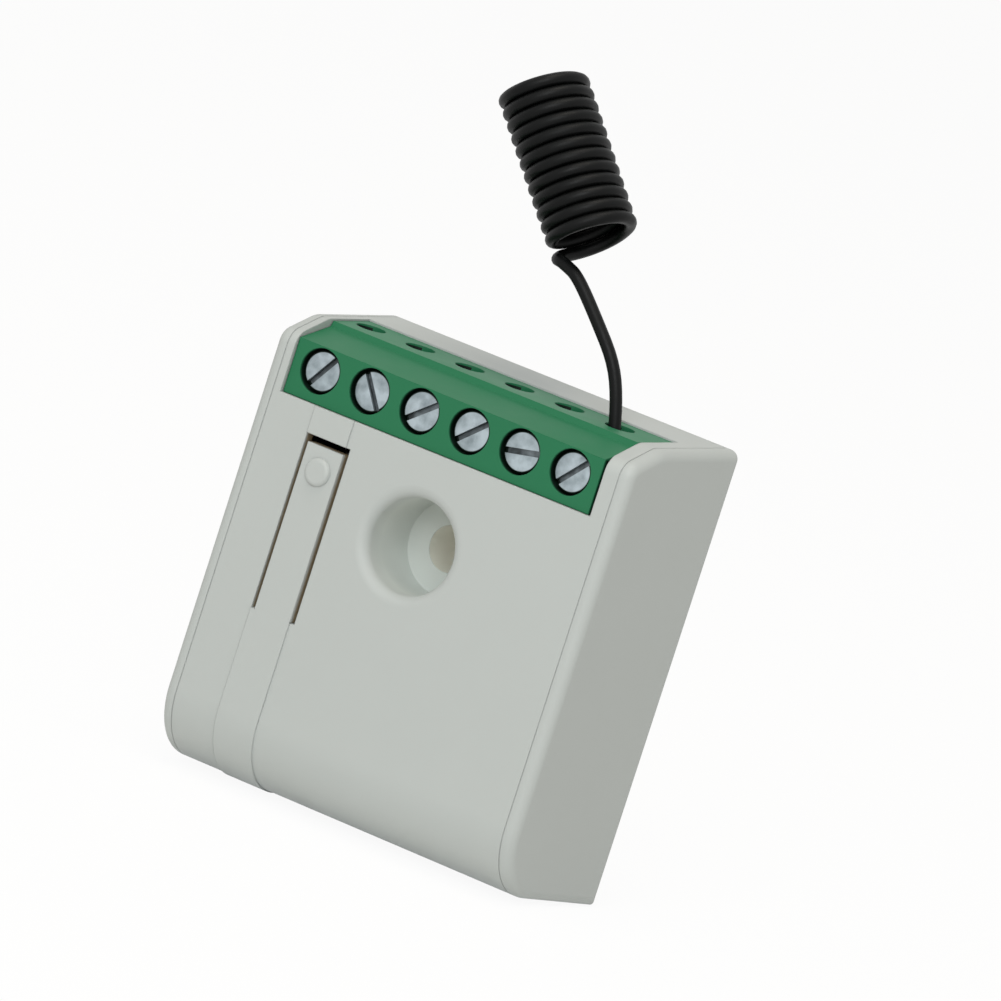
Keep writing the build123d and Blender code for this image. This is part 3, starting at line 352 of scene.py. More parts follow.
@dataclass(frozen=True)
class CasePlastic(MouldedPlastic):
    """Plastic of the case, with painted light in the well and its fixing bore, and a brown dusting
    with painted shade in the slots round the learn button.

    Args:
        well: Paler colour on the well's walls: painted light, for the light bounced round inside
            the well.
        well_z: Height of the well's middle; its middle lies at x 0.
        well_radius: Radius within which the well's painted light lies.
        well_y: Depths between which that colour sets in; it goes on to the back face.
        bore: Near-white colour in the fixing bore behind the well: painted light, as if light came
            through it from behind.
        bore_radius: Radius within which that colour lies.
        bore_y: Depth at which it starts.
        dust_and_shade: Brown colour in the slots: a dusting, and painted shade darker than the
            case.
        slot_x: Left and right end of the slotted region.
        slot_z: Its lower and upper end.
        slot_y: Depths between which that brown colour sets in.
        wall: Depth at which it ends.
    """

    well: Colour = rgb(210, 215, 211)
    well_z: float = 25.0 * MM
    well_radius: float = 4.6 * MM
    well_y: Span = (0.3 * MM, 2.6 * MM)
    bore: Colour = rgb(250, 249, 240)
    bore_radius: float = 2.03 * MM
    bore_y: float = 7.05 * MM
    dust_and_shade: Colour = rgb(158, 142, 116)
    slot_x: Span = (-12.6 * MM, -7.8 * MM)
    slot_z: Span = (15.3 * MM, 30.9 * MM)
    slot_y: Span = (0.1 * MM, 0.4 * MM)
    wall: float = 2.5 * MM

    def shadowed(self, bench: MaterialBench, colour: Signal) -> Signal:
        """Colour with painted light in the well and the bore, and a brown dusting with painted
        shade inside the slots.
        """
        x, depth, z = bench.spot()
        up = z - self.well_z
        reach = x * x + up * up
        # Painted light: the well's walls are painted paler, as light bounced inside the well would
        # make them.
        well_light_mask = (reach < self.well_radius ** 2) * depth.ramp(*self.well_y)
        colour = bench.blend(well_light_mask, colour, self.well)
        # Painted light: the fixing bore is painted almost white, as light coming through it from
        # behind would make it.
        bore_light_mask = (reach < self.bore_radius ** 2) * (depth > self.bore_y)
        colour = bench.blend(bore_light_mask, colour, self.bore)
        # A brown dusting and painted shade in the slots round the learn button, between their edges
        # and the wall behind.
        in_slots = x.within(self.slot_x) * z.within(self.slot_z)
        slot_dust_and_shade = in_slots * depth.ramp(*self.slot_y) * (depth < self.wall)
        return bench.blend(slot_dust_and_shade, colour, self.dust_and_shade)


@dataclass(frozen=True)
class TerminalPlastic(MouldedPlastic):
    """Green plastic with painted shade down the wire entries and in the screw recesses.

    Args:
        hole_shade: Dark colour painted deep in the entries and recesses as painted shade.
        behind: Depth past which the entries lie.
        mouth: Heights between which the painted shade in the entries sets in.
        recess: Depths between which the painted shade on the walls of the recesses sets in.
        brow: Height of the recesses' upper end.
        first: X of the first entry's left edge.
        shaded: Width of the strip of painted shadow at the left of each entry.
        top: Height below which that strip is painted dark.
    """

    hole_shade: Colour = rgb(8, 26, 18)
    behind: float = 5.2 * MM
    mouth: Span = (38.15 * MM, 39.15 * MM)
    recess: Span = (0.33 * MM, 0.62 * MM)
    brow: float = 37.75 * MM
    first: float = -15.5 * MM
    shaded: float = 0.85 * MM
    top: float = 39.5 * MM

    def shadowed(self, bench: MaterialBench, colour: Signal) -> Signal:
        """Colour with painted shade inside the entries and recesses."""
        x, depth, z = bench.spot()
        pitch = TERMINAL_PITCH * MM
        from_edge = ((x - self.first) / pitch).fraction() * pitch
        # Painted shade: dark down the wire entries, with a painted shadow strip at the left of
        # each, and on the walls of the recesses.
        strip = (from_edge < self.shaded) * (z < self.top)
        entries = z.ramp(*self.mouth, 1.0, 0.0).largest(strip) * (depth > self.behind)
        recesses = depth.ramp(*self.recess) * (depth < self.behind) * (z < self.brow)
        return bench.blend(entries.largest(recesses), colour, self.hole_shade)


@dataclass(frozen=True)
class PlatedMetal(Finish):
    """Plated metal with cloudy tarnish and fine scratches.

    Args:
        colour: Clean colour.
        tarnish: Colour of its dull patches.
        roughness: Roughness of clean metal with the deepest scratches.
        patch: Size of the patches.
        scratch: Spacing of the scratches.
        lay: Scale of the scratches along each axis.
        depth: Depth of the scratches.
        metallic: Share of metal in its shine.
        spread: Values of the patches' noise between which the tarnish sets in.
        dulled: How much rougher the tarnish is.
        brushed: How much rougher the scratches are.
        scored: Share of the scratches in the relief.
        edge: Radius of the softened edges.
    """

    colour: Colour
    tarnish: Colour
    roughness: float = 0.35
    patch: float = 0.6 * MM
    scratch: float = 0.08 * MM
    lay: Corner = (1.0, 1.0, 0.12)
    depth: float = 0.004 * MM
    metallic: float = 1.0
    spread: Span = (0.36, 0.68)
    dulled: float = 0.18
    brushed: float = 0.12
    scored: float = 0.6
    edge: float = 0.05 * MM

    def make(self) -> Material:
        """Builds the material."""
        bench = MaterialBench(self.name)
        patches = bench.noise(self.patch, 4)
        scratches = bench.noise(self.scratch, 2, self.lay)
        dull = patches.ramp(*self.spread)
        colour = self.shadowed(bench, bench.blend(dull, self.colour, self.tarnish))
        roughness = dull * self.dulled + scratches * self.brushed + (self.roughness - self.brushed)
        height = scratches * self.scored + patches * (1 - self.scored)
        return bench.shade(Base_Color=colour, Metallic=self.metallic, Roughness=roughness,
                           Normal=bench.relief(height, self.depth, self.edge))


@dataclass(frozen=True)
class ScrewSteel(PlatedMetal):
    """Zinc plated steel of the terminal screws, dirty and with painted shade in their drive slots,
    and with painted shade round their heads.

    Args:
        dirt_and_shade: Colour in the slots: dirty, and darker as painted shade.
        slot: Depths between which that colour sets in below the slots' edges.
        floor: Depth of the slots' floors.
        cake: Size of the patches in which that colour is caked.
        cake_edge: Values of their noise between which they set in.
        thin: Share of that colour between those patches.
        rim_shade: Dark green painted round the heads' rims, as painted shade in the recesses round
            them.
        rim: Radii between which that painted shade sets in.
    """

    dirt_and_shade: Colour = rgb(74, 78, 80)
    slot: Span = (0.92 * MM, 1.02 * MM)
    floor: float = 1.3 * MM
    cake: float = 1.2 * MM
    cake_edge: Span = (0.35, 0.65)
    thin: float = 0.6
    rim_shade: Colour = rgb(26, 40, 33)
    rim: Span = (1.58 * MM, 1.64 * MM)

    def shadowed(self, bench: MaterialBench, colour: Signal) -> Signal:
        """Colour, dirty and with painted shade in the slots, and with painted shade round the
        heads.
        """
        x, depth, z = bench.spot()
        # Dirty colour and painted shade in the drive slots, darker below their edges and caked in
        # patches.
        caked = bench.noise(self.cake, 2).ramp(*self.cake_edge, self.thin, 1.0)
        in_slot = depth.ramp(*self.slot) * (depth < self.floor)
        colour = bench.blend(in_slot * caked, colour, self.dirt_and_shade)
        # Painted shade: a dark ring round each screw head, where the recess round it lies in shade.
        pitch = TERMINAL_PITCH * MM
        aside = (((x - TERMINAL_FIRST * MM) / pitch + 0.5).fraction() - 0.5) * pitch
        up = z - SCREW_HEIGHT * MM
        reach = (aside * aside + up * up).root()
        return bench.blend(reach.ramp(*self.rim), colour, self.rim_shade)


class Side(Enum):
    """Which side of a level the metal leads of a component lie on."""

    ABOVE = 1
    BOTH = 0


@dataclass(frozen=True)
class LeadedPart(Finish):
    """An electronic part: one finish on its body and tinned metal on its leads.

    Args:
        colour: Colour of the body.
        roughness: Roughness of the body.
        level: Where the leads start along the axis.
        axis: Axis along which they start.
        side: Side of the level on which they lie; both means further from the middle than it.
        middle: Middle of the body, where the leads lie on both sides.
        coat: Clear coat on the body.
        coat_roughness: Roughness of that coat.
        speckle: How strongly the body is speckled, as a share.
        grain: Size of the speckles.
        grain_depth: Depth of their relief.
        mottle: How much rougher the speckles are.
        edge: Radius of the softened edges.
        tin: Dull and bright colour of the tin.
        tin_patch: Size of its patches.
        tin_roughness: Roughness of the tin.
    """

    colour: Colour
    roughness: float
    level: float
    axis: Axis = Axis.Y
    side: Side = Side.ABOVE
    middle: float = 0.0
    coat: float = 0.0
    coat_roughness: float = 0.12
    speckle: float = 0.06
    grain: float = 0.14 * MM
    grain_depth: float = 0.003 * MM
    mottle: float = 0.08
    edge: float = 0.08 * MM
    tin: Shades = (rgb(196, 196, 194), rgb(228, 228, 224))
    tin_patch: float = 0.5 * MM
    tin_roughness: float = 0.32

    def make(self) -> Material:
        """Builds the material."""
        bench = MaterialBench(self.name)
        place = bench.along(self.axis)
        lead = (abs(place - self.middle) if self.side is Side.BOTH else place) > self.level
        grain = bench.noise(self.grain, 3)
        body = bench.blend(grain.ramp(*MIDDLE), *shades(self.colour, self.speckle))
        tin = bench.blend(bench.noise(self.tin_patch, 3), *self.tin)
        roughness = lead.ramp(0, 1, self.roughness, self.tin_roughness) + grain * self.mottle
        return bench.shade(Base_Color=bench.blend(lead, body, tin), Metallic=lead,
                           Roughness=roughness, Coat_Weight=lead.ramp(0, 1, self.coat, 0.0),
                           Coat_Roughness=self.coat_roughness,
                           Normal=bench.relief(grain, self.grain_depth, self.edge))


@dataclass(frozen=True)
class BoardLaminate(Finish):
    """Glass fibre board under green solder mask: tracks beneath it, tinned pads, bare cut edges.

    Args:
        front: Depth of its front face.
        back: Depth of its back face.
        lane: Spacing of the tracks.
        lane_half: Half the width of a track, as a share of their spacing.
        zone: Size of the zones in which the tracks keep one direction.
        plain: Share of the zones that are whole copper.
        pads: Mean distance of the pads.
        scatter: How unevenly they lie, from 0 to 1.
        pad: Radius of a pad.
        mask: Colour of the mask on fibre and on copper.
        tin: Colour of the pads.
        fibre: Dark and light colour of the cut edges.
        weave: Size of the fibre's pattern.
        layers: Scale of that pattern along each axis.
        copper: Thickness of the copper.
        roughness: Roughness of the faces and of the cut edges.
        coat: Clear coat on the faces.
        coat_roughness: Roughness of that coat.
        rounding: Radius of the softened edges.
    """

    front: float
    back: float
    lane: float = 0.8 * MM
    lane_half: float = 0.3
    zone: float = 3.2 * MM
    plain: float = 0.14
    pads: float = 3.6 * MM
    scatter: float = 0.7
    pad: float = 0.27 * MM
    mask: Shades = (rgb(20, 88, 48), rgb(34, 118, 64))
    tin: Colour = rgb(196, 196, 190)
    fibre: Shades = (rgb(150, 146, 96), rgb(186, 180, 124))
    weave: float = 0.3 * MM
    layers: Corner = (1.0, 6.0, 1.0)
    copper: float = 0.02 * MM
    roughness: Span = (0.28, 0.65)
    coat: float = 0.4
    coat_roughness: float = 0.1
    rounding: float = 0.04 * MM

    def make(self) -> Material:
        """Builds the material."""
        bench = MaterialBench(self.name)
        x, depth, z = bench.spot()
        zone = bench.vector(*((place / self.zone).whole() for place in (x, z)))
        choice = bench.signal("ShaderNodeTexWhiteNoise", {"Vector": zone}, noise_dimensions="2D")
        upright, level = (abs((place / self.lane).fraction() - 0.5) < self.lane_half
                          for place in (x, z))
        turned = choice > 0.5
        tracks = (upright * turned + level * (1 - turned)).largest(choice > 1 - self.plain)
        spots = bench.signal("ShaderNodeTexVoronoi", {
            "Vector": bench.vector(x, z), "Scale": 1 / self.pads, "Randomness": self.scatter},
            voronoi_dimensions="2D")
        pad = spots * self.pads < self.pad
        copper = tracks.largest(pad)
        # The faces keep their mask: the cut edges begin a little inside them.
        half = (self.back - self.front) / 2
        edge = abs(depth - (self.front + half)) < half * 0.97
        tin = pad * (1 - edge)
        fibre = bench.blend(bench.noise(self.weave, 2, self.layers), *self.fibre)
        colour = bench.blend(edge, bench.blend(copper, *self.mask), fibre)
        return bench.shade(Base_Color=bench.blend(tin, colour, self.tin), Metallic=tin,
                           Roughness=edge.ramp(0, 1, *self.roughness),
                           Coat_Weight=edge.ramp(0, 1, self.coat, 0.0),
                           Coat_Roughness=self.coat_roughness,
                           Normal=bench.relief(copper, self.copper, self.rounding))


@dataclass(frozen=True)
class WireCover(Finish):
    """Soft black insulation with a dull shine.

    Args:
        colour: Colour of the insulation.
        roughness: Lowest and highest roughness.
        gloss: Specular level.
        worn: How many times lighter its worn patches are.
        patch: Size of those patches.
        fade: Values of their noise between which the wear sets in.
        grain: Size of its grains.
        grain_depth: Depth of the grains.
    """

    colour: Colour
    roughness: Span = (0.39, 0.53)
    gloss: float = 0.16
    worn: float = 1.5
    patch: float = 1.6 * MM
    fade: Span = (0.45, 0.75)
    grain: float = 0.12 * MM
    grain_depth: float = 0.004 * MM

    def make(self) -> Material:
        """Builds the material."""
        bench = MaterialBench(self.name)
        bloom = bench.noise(self.patch, 3)
        grain = bench.noise(self.grain, 2)
        worn = tuple(value * self.worn for value in self.colour)
        colour = bench.blend(bloom.ramp(*self.fade), self.colour, worn)
        return bench.shade(Base_Color=colour, Roughness=bloom.ramp(*MIDDLE, *self.roughness),
                           Specular_IOR_Level=self.gloss,
                           Normal=bench.relief(grain, self.grain_depth))


def dress(finish: Finish, *nodes: str) -> Material:
    """Makes a finish and puts it on CAD nodes.

    Args:
        finish: The finish to make.
        *nodes: Names of the nodes on which it takes the place of the plain material.

    Returns:
        The new material.
    """
    material = finish.make()
    for node in nodes:
        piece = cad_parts[node]
        if not piece.material_slots:
            piece.data.materials.append(material)
        for place in piece.material_slots:
            place.material = material
        log.info("dressed %s in %s", node, material.name)
    return material


def piece_from(name: str, mesh: Mesh) -> Piece:
    """Object at the origin that holds a finished mesh.

    Args:
        name: Name of the piece.
        mesh: Its mesh, in place.

    Returns:
        The new object, linked to the scene.
    """
    piece = bpy.data.objects.new(name, mesh)
    bpy.context.scene.collection.objects.link(piece)
    return piece


def piece_by(name: str, build: Callable[[Work], None], material: Material) -> Piece:
    """Piece made by one function.

    Args:
        name: Name of the piece.
        build: Function that fills the mesh under construction.
        material: Material of the piece.

    Returns:
        The new piece, with its faces pointing outwards.
    """
    work = bmesh.new()
    build(work)
    bmesh.ops.remove_doubles(work, verts=work.verts, dist=1e-8)
    bmesh.ops.recalc_face_normals(work, faces=work.faces)
    mesh = bpy.data.meshes.new(name)
    work.to_mesh(mesh)
    work.free()
    mesh.materials.append(material)
    return piece_from(name, mesh)


def add_strip(work: Work, rings: Iterable[Iterable[Vector]]) -> None:
    """Adds a strip or rod through rings of points, closed at both ends.

    Args:
        work: The mesh under construction.
        rings: The rings in order, each with as many points as the next.
    """
    laid = [[work.verts.new(spot) for spot in ring] for ring in rings]
    for low, high in zip(laid, laid[1:]):
        for step in range(len(low)):
            after = (step + 1) % len(low)
            work.faces.new((low[step], low[after], high[after], high[step]))
    work.faces.new(laid[0])
    work.faces.new(laid[-1])


class GeometryRecipe(Bench):
    """A Geometry Nodes tree with named sizes, which turns a host object into a plain mesh."""

    def __init__(self, name: str, sizes: dict[str, float]) -> None:
        """Makes the tree with its inputs.

        Args:
            name: Name of the tree.
            sizes: Named inputs with their values.
        """
        super().__init__(bpy.data.node_groups.new(name, "GeometryNodeTree"))
        self.sizes = sizes
        sockets = self.tree.interface
        sockets.new_socket("Geometry", in_out="INPUT", socket_type="NodeSocketGeometry")
        sockets.new_socket("Geometry", in_out="OUTPUT", socket_type="NodeSocketGeometry")
        self.keys = {size: sockets.new_socket(size, in_out="INPUT",
                                              socket_type="NodeSocketFloat").identifier
                     for size in sizes}
        self.entry = self.node("NodeGroupInput")

    def given(self, name: str) -> Signal:
        """A named input, or the host's own geometry."""
        return Signal(self, self.entry.outputs[name])

    def wound(self, steps: int, sides: int) -> Signal:
        """Wire wound up the Z axis, by the inputs Turns, Radius, Height and Wire Radius.

        Args:
            steps: Points in one turn.
            sides: Sides of the wire.

        Returns:
            The wire.
        """
        line = self.signal("GeometryNodeCurveSpiral", {
            "Resolution": steps, "Rotations": self.given("Turns"), "Height": self.given("Height"),
            "Start Radius": self.given("Radius"), "End Radius": self.given("Radius")})
        ring = self.signal("GeometryNodeCurvePrimitiveCircle", {
            "Resolution": sides, "Radius": self.given("Wire Radius")}, "Curve", mode="RADIUS")
        return self.signal("GeometryNodeCurveToMesh", {0: line, 1: ring, "Fill Caps": True})

    def bake(self, name: str, shape: Signal, material: Material,
             host: Mesh | None = None) -> Piece:
        """Ends the tree and turns its result into a plain mesh.

        Args:
            name: Name of the finished piece.
            shape: The geometry to keep.
            material: Its material.
            host: Mesh that the tree starts from, where it uses one.

        Returns:
            The finished piece.
        """
        real = self.signal("GeometryNodeRealizeInstances", {0: shape})
        smooth = self.signal("GeometryNodeSetShadeSmooth", {0: real})
        dressed = self.signal("GeometryNodeSetMaterial", {0: smooth, "Material": material})
        self.node("NodeGroupOutput", {"Geometry": dressed})
        piece = piece_from(name, host or bpy.data.meshes.new(name + "_start"))
        modifier = piece.modifiers.new("Recipe", "NODES")
        modifier.node_group = self.tree
        for size, value in self.sizes.items():
            modifier[self.keys[size]] = value
        graph = bpy.context.evaluated_depsgraph_get()
        mesh = bpy.data.meshes.new_from_object(piece.evaluated_get(graph))
        piece.modifiers.clear()
        piece.data = mesh
        mesh.name = name
        return piece


@dataclass
class Photographer:
    """The camera of the photograph: a long lens from the front right, rolled a little.

    Degrees and metres, lens and sensor in millimetres.
    """

    target: Vector = field(default_factory=lambda: Vector((5.3646, -5.4194, 30.9984)) * MM)
    azimuth: float = 28.867
    elevation: float = 7.657
    roll: float = -17.917
    distance: float = 0.9
    lens: float = 392.63
    sensor: float = 36.0
    clip: Span = (0.05, 20.0)

    def build(self) -> None:
        """Makes the camera and puts it to use."""
        azimuth, elevation = math.radians(self.azimuth), math.radians(self.elevation)
        ahead = Vector((-math.sin(azimuth) * math.cos(elevation),
                        math.cos(azimuth) * math.cos(elevation), -math.sin(elevation)))
        data = bpy.data.cameras.new("camera")
        data.lens = self.lens
        data.sensor_width = self.sensor
        data.clip_start, data.clip_end = self.clip
        camera = bpy.data.objects.new("camera", data)
        bpy.context.scene.collection.objects.link(camera)
        turn = Quaternion(ahead, math.radians(self.roll)) @ ahead.to_track_quat("-Z", "Y")
        camera.rotation_mode = "QUATERNION"
        camera.rotation_quaternion = turn
        camera.location = self.target - ahead * self.distance
        bpy.context.scene.camera = camera
        log.info("camera at %s", tuple(round(value, 4) for value in camera.location))


@dataclass
class AntennaCore:
    """Copper strands that show in the antenna's cut end: one in the middle and six round it.

    Sizes in millimetres; the rings are a strand's height past the end and share of its radius.
    """

    spread: float = 0.17
    radius: float = 0.085
    around: int = 6
    sides: int = 10
    rings: tuple[Span, ...] = ((-0.3, 1.0), (0.1, 1.0), (0.14, 0.7))

    def build(self, end: Vector, way: Vector, material: Material) -> Piece:
        """Makes the strands.

        Args:
            end: End of the wire.
            way: Its direction there.
            material: Material of the strands.

        Returns:
            The strands as one piece.
        """
        turn = way.to_track_quat("Z", "Y")

        def wheel(count: int) -> list[Span]:
            """Points of a round of radius 1."""
            angles = [step * 2 * math.pi / count for step in range(count)]
            return [(math.cos(angle), math.sin(angle)) for angle in angles]

        def strands(work: Work) -> None:
            """Adds each strand with a rounded tip."""
            for across, up in [(0.0, 0.0), *wheel(self.around)]:
                add_strip(work, [
                    [end + turn @ (Vector((across * self.spread + self.radius * share * x,
                                           up * self.spread + self.radius * share * y, rise)) * MM)
                     for x, y in wheel(self.sides)]
                    for rise, share in self.rings])

        piece = piece_by("antenna_strands", strands, material)
        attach(piece, "module")
        return piece


@dataclass
class AntennaWire:
    """The antenna: one insulated wire out of the last terminal, wound into a close coil.

    Sizes in millimetres.
    """

    wire: float = 1.134
    lead_share: float = 0.93
    length: float = 276.0
    turns: int = 12
    points_per_turn: int = 16
    pitch: float = 1.138
    radius: float = 3.33
    base: Corner = (2.6, 9.3, 53.3)
    lean_left: float = 41.6
    lean_back: float = 0.75
    start: float = 62.6
    view_left: Vector = field(default_factory=lambda: Vector((-0.81, -0.50, -0.30)))
    run_in: Span = (1.43, 0.72)
    run_out: float = 0.72
    exit: Corner = (11.35, 7.62, 39.6)
    lead: tuple[Corner, ...] = (
        (11.35, 7.62, 34.6), (11.35, 7.62, 37.9), (10.24, 7.7, 41.77), (8.82, 7.8, 44.52),
        (6.13, 7.85, 47.18), (3.98, 7.9, 49.21), (2.82, 7.83, 50.16), (2.04, 8.01, 50.4),
        (0.91, 8.09, 50.75), (0.13, 8.97, 50.61),
    )

    def turn_point(self, turn: float, radius: float) -> tuple[Vector, Vector]:
        """Point on the coil and its direction there.

        Args:
            turn: Number of turns from the coil's lower end.
            radius: Radius of the coil in millimetres.

        Returns:
            The point and the unit direction of the wire.
        """
        left, back = math.radians(self.lean_left), math.radians(self.lean_back)
        axis = Vector((-math.sin(left), math.sin(back), math.cos(left) * math.cos(back)))
        axis.normalize()
        aside = (self.view_left - axis * self.view_left.dot(axis)).normalized()
        away = aside.cross(axis)
        angle = math.radians(self.start) + 2 * math.pi * turn
        spot = at(*self.base) + axis * (self.pitch * turn * MM)
        spot += (aside * math.cos(angle) + away * math.sin(angle)) * (radius * MM)
        round_way = away * math.cos(angle) - aside * math.sin(angle)
        return spot, (round_way * (2 * math.pi * radius) + axis * self.pitch).normalized()

    def route(self) -> list[Vector]:
        """Control points of the wire from its clamp to its free end."""
        first, heading = self.turn_point(0, self.radius)
        points = [at(*corner) for corner in self.lead]
        points += [first - heading * (gap * MM) for gap in self.run_in]
        # The spline runs inside its control points, which lie this much further out.
        outer = self.radius / (0.75 + 0.25 * math.cos(2 * math.pi / self.points_per_turn))
        points += [self.turn_point(step / self.points_per_turn, outer)[0]
                   for step in range(self.turns * self.points_per_turn + 1)]
        last, leaving = self.turn_point(self.turns, self.radius)
        return [*points, last + leaving * (self.run_out * MM)]

    def build(self, cover: Material, core: Material) -> None:
        """Makes the wire with the bare core at its cut end.

        Args:
            cover: Material of the insulation.
            core: Material of the core.
        """
        points = self.route()
        curve = bpy.data.curves.new("antenna_wire", "CURVE")
        curve.dimensions = "3D"
        curve.resolution_u = 4
        curve.bevel_depth = self.wire / 2 * MM
        curve.bevel_resolution = 5
        curve.use_fill_caps = True
        spline = curve.splines.new("NURBS")
        spline.points.add(len(points) - 1)
        loose = len(self.lead) + len(self.run_in)
        for number, (place, point) in enumerate(zip(spline.points, points)):
            place.co = (*point, 1.0)
            place.radius = self.lead_share + (1 - self.lead_share) * min(1.0, number / loose)
        spline.order_u = 3
        spline.use_endpoint_u = True
        curve.materials.append(cover)
        wire = bpy.data.objects.new("antenna_wire", curve)
        bpy.context.scene.collection.objects.link(wire)
        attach(wire, "module")
        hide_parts("antenna_lead", "antenna_coil")
        end_core = AntennaCore().build(points[-1], (points[-1] - points[-2]).normalized(), core)
        tuple(at(*self.exit))
        log.info("antenna wire with %d control points", len(points))


@dataclass
class LearnButtonRoot:
    """Skin over the root of the springy button, where its tongue runs on into the case.

    Sizes in millimetres.
    """

    x: float = -10.2
    width: float = 3.5
    low: float = 13.9
    high: float = 16.6
    root: float = 15.25
    face: float = -0.12
    stand: float = 0.006
    thick: float = 0.03
    rows: int = 18
    sink: float = 1 / 6  # share of its height over which each end sinks to the face

    def build(self, material: Material) -> None:
        """Makes the skin between the case and the button."""
        def skin(work: Work) -> None:
            """Adds a thin strip in rows along its height, level with the face at both ends."""
            rings = []
            for row in range(self.rows + 1):
                share = row / self.rows
                z = self.low + (self.high - self.low) * share
                proud = self.stand * min(1.0, share / self.sink, (1 - share) / self.sink)
                outer, inner = self.face - proud, self.face + self.thick
                rings.append([at(self.x + side * self.width / 2, depth, z) for side, depth in (
                    (-1, inner), (-1, outer), (1, outer), (1, inner))])
            add_strip(work, rings)

        piece = piece_by("button_root_skin", skin, material)
        tuple(at(self.x, self.face, self.root - 0.35))
        tuple(at(self.x, self.face, self.root + 0.35))
        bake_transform(piece)
        log.info("button root skin")


@dataclass
class SeamWeld:
    """Weld that fills the seam between the front cover and the rear housing on both sides.

    Sizes in millimetres; the corners are depth, height and rounding of the case's side outline.
    """

    side: float = 16.825
    width: float = 0.048
    sunk: float = 0.06
    thick: float = 0.3
    start: Span = (15.9, 0.06)
    end: Span = (15.9, 40.14)
    corners: tuple[Corner, ...] = (
        (0.0, 0.725, 6.0), (0.0, 38.007, 1.5), (4.25, 39.607, 3.0),
    )
    steps: int = 10

    def outline(self) -> list[tuple[Vector, Vector]]:
        """Points of the outline in depth and height, each with its outward direction."""
        spots = [Vector(self.start), *(Vector(corner[:2]) for corner in self.corners),
                 Vector(self.end)]
        line = []
        for number, (_, _, radius) in enumerate(self.corners, start=1):
            before = (spots[number - 1] - spots[number]).normalized()
            after = (spots[number + 1] - spots[number]).normalized()
            half = before.angle(after) / 2
            centre = spots[number] + (before + after).normalized() * (radius / math.sin(half))
            first, last = (spots[number] + way * (radius / math.tan(half)) - centre
                           for way in (before, after))
            ways = [first.lerp(last, step / self.steps).normalized()
                    for step in range(self.steps + 1)]
            line += [(centre + way * radius, way) for way in ways]
        return [(spots[0], line[0][1]), *line, (spots[-1], line[-1][1])]

    def build(self, material: Material) -> None:
        """Lays a thin strip in each seam."""
        line = self.outline()

        def strips(work: Work) -> None:
            """Adds one strip on each side."""
            for side in (-self.side, self.side):
                left, right = side - self.width / 2, side + self.width / 2
                rings = []
                for spot, way in line:
                    top, foot = spot - way * self.sunk, spot - way * (self.sunk + self.thick)
                    rings.append([at(x, *place) for x, place in (
                        (left, foot), (left, top), (right, top), (right, foot))])
                add_strip(work, rings)

        piece = piece_by("case_seam_weld", strips, material)
        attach(piece, "module")
        log.info("seam weld with %d points a side", len(line))


@dataclass
class RelayWinding:
    """The relay's coil: close turns of fine enamelled wire round a drum. Millimetres."""

    x: float = 11.7
    depth: float = 6.5
    low: float = 9.425
    high: float = 14.625
    radius: float = 2.4
    wire: float = 0.13
    steps: int = 28
    sides: int = 6
    drum_sides: int = 48

    def build(self, material: Material) -> None:
        """Winds the wire with Geometry Nodes."""
        turns = (self.high - self.low) / self.wire - 2
        recipe = GeometryRecipe("coil_winding", {
            "Turns": turns, "Radius": (self.radius - self.wire / 2) * MM,
            "Height": (self.high - self.low - 2 * self.wire) * MM,
            "Wire Radius": self.wire / 2 * MM})
        tube = recipe.wound(self.steps, self.sides)
        height = recipe.given("Height")
        drum = recipe.signal("GeometryNodeMeshCylinder", {
            "Vertices": self.drum_sides, "Radius": recipe.given("Radius"), "Depth": height}, "Mesh")
        raised = recipe.signal("GeometryNodeTransform", {
            0: drum, "Translation": recipe.vector(0.0, 0.0, height * 0.5)})
        both = recipe.node("GeometryNodeJoinGeometry")
        for shape in (tube, raised):
            recipe.tree.links.new(shape.socket, both.inputs[0])
        placed = recipe.signal("GeometryNodeTransform", {
            0: Signal(recipe, both.outputs[0]),
            "Translation": at(self.x, self.depth, self.low + self.wire)})
        piece = recipe.bake("relay_coil_turns", placed, material)
        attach(piece, "module")
        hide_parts("relay_winding")
        log.info("relay winding of %.0f turns", turns)


@dataclass
class ScrewThreads:
    """Thread ridge round the shank of each terminal screw. Millimetres, front and back depths."""

    pitch: float = 0.5
    radius: float = 1.39
    ridge: float = 0.09
    front: float = 2.1
    back: float = 6.2
    steps: int = 36
    sides: int = 4

    def build(self, material: Material) -> None:
        """Makes one ridge for each screw and lets it turn with the screw."""
        length = self.back - self.front
        for way in TERMINALS:
            recipe = GeometryRecipe(f"thread_{way}", {
                "Turns": length / self.pitch, "Radius": self.radius * MM,
                "Height": length * MM, "Wire Radius": self.ridge * MM})
            ridge = recipe.wound(self.steps, self.sides)
            x = TERMINAL_FIRST + (way - 1) * TERMINAL_PITCH
            laid = recipe.signal("GeometryNodeTransform", {
                0: ridge, "Translation": at(x, self.back, SCREW_HEIGHT),
                "Rotation": (math.pi / 2, 0.0, 0.0)})
            piece = recipe.bake(f"screw_thread_{way}", laid, material)
            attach(piece, f"screw_{way}")
            log.info("thread of screw %d", way)


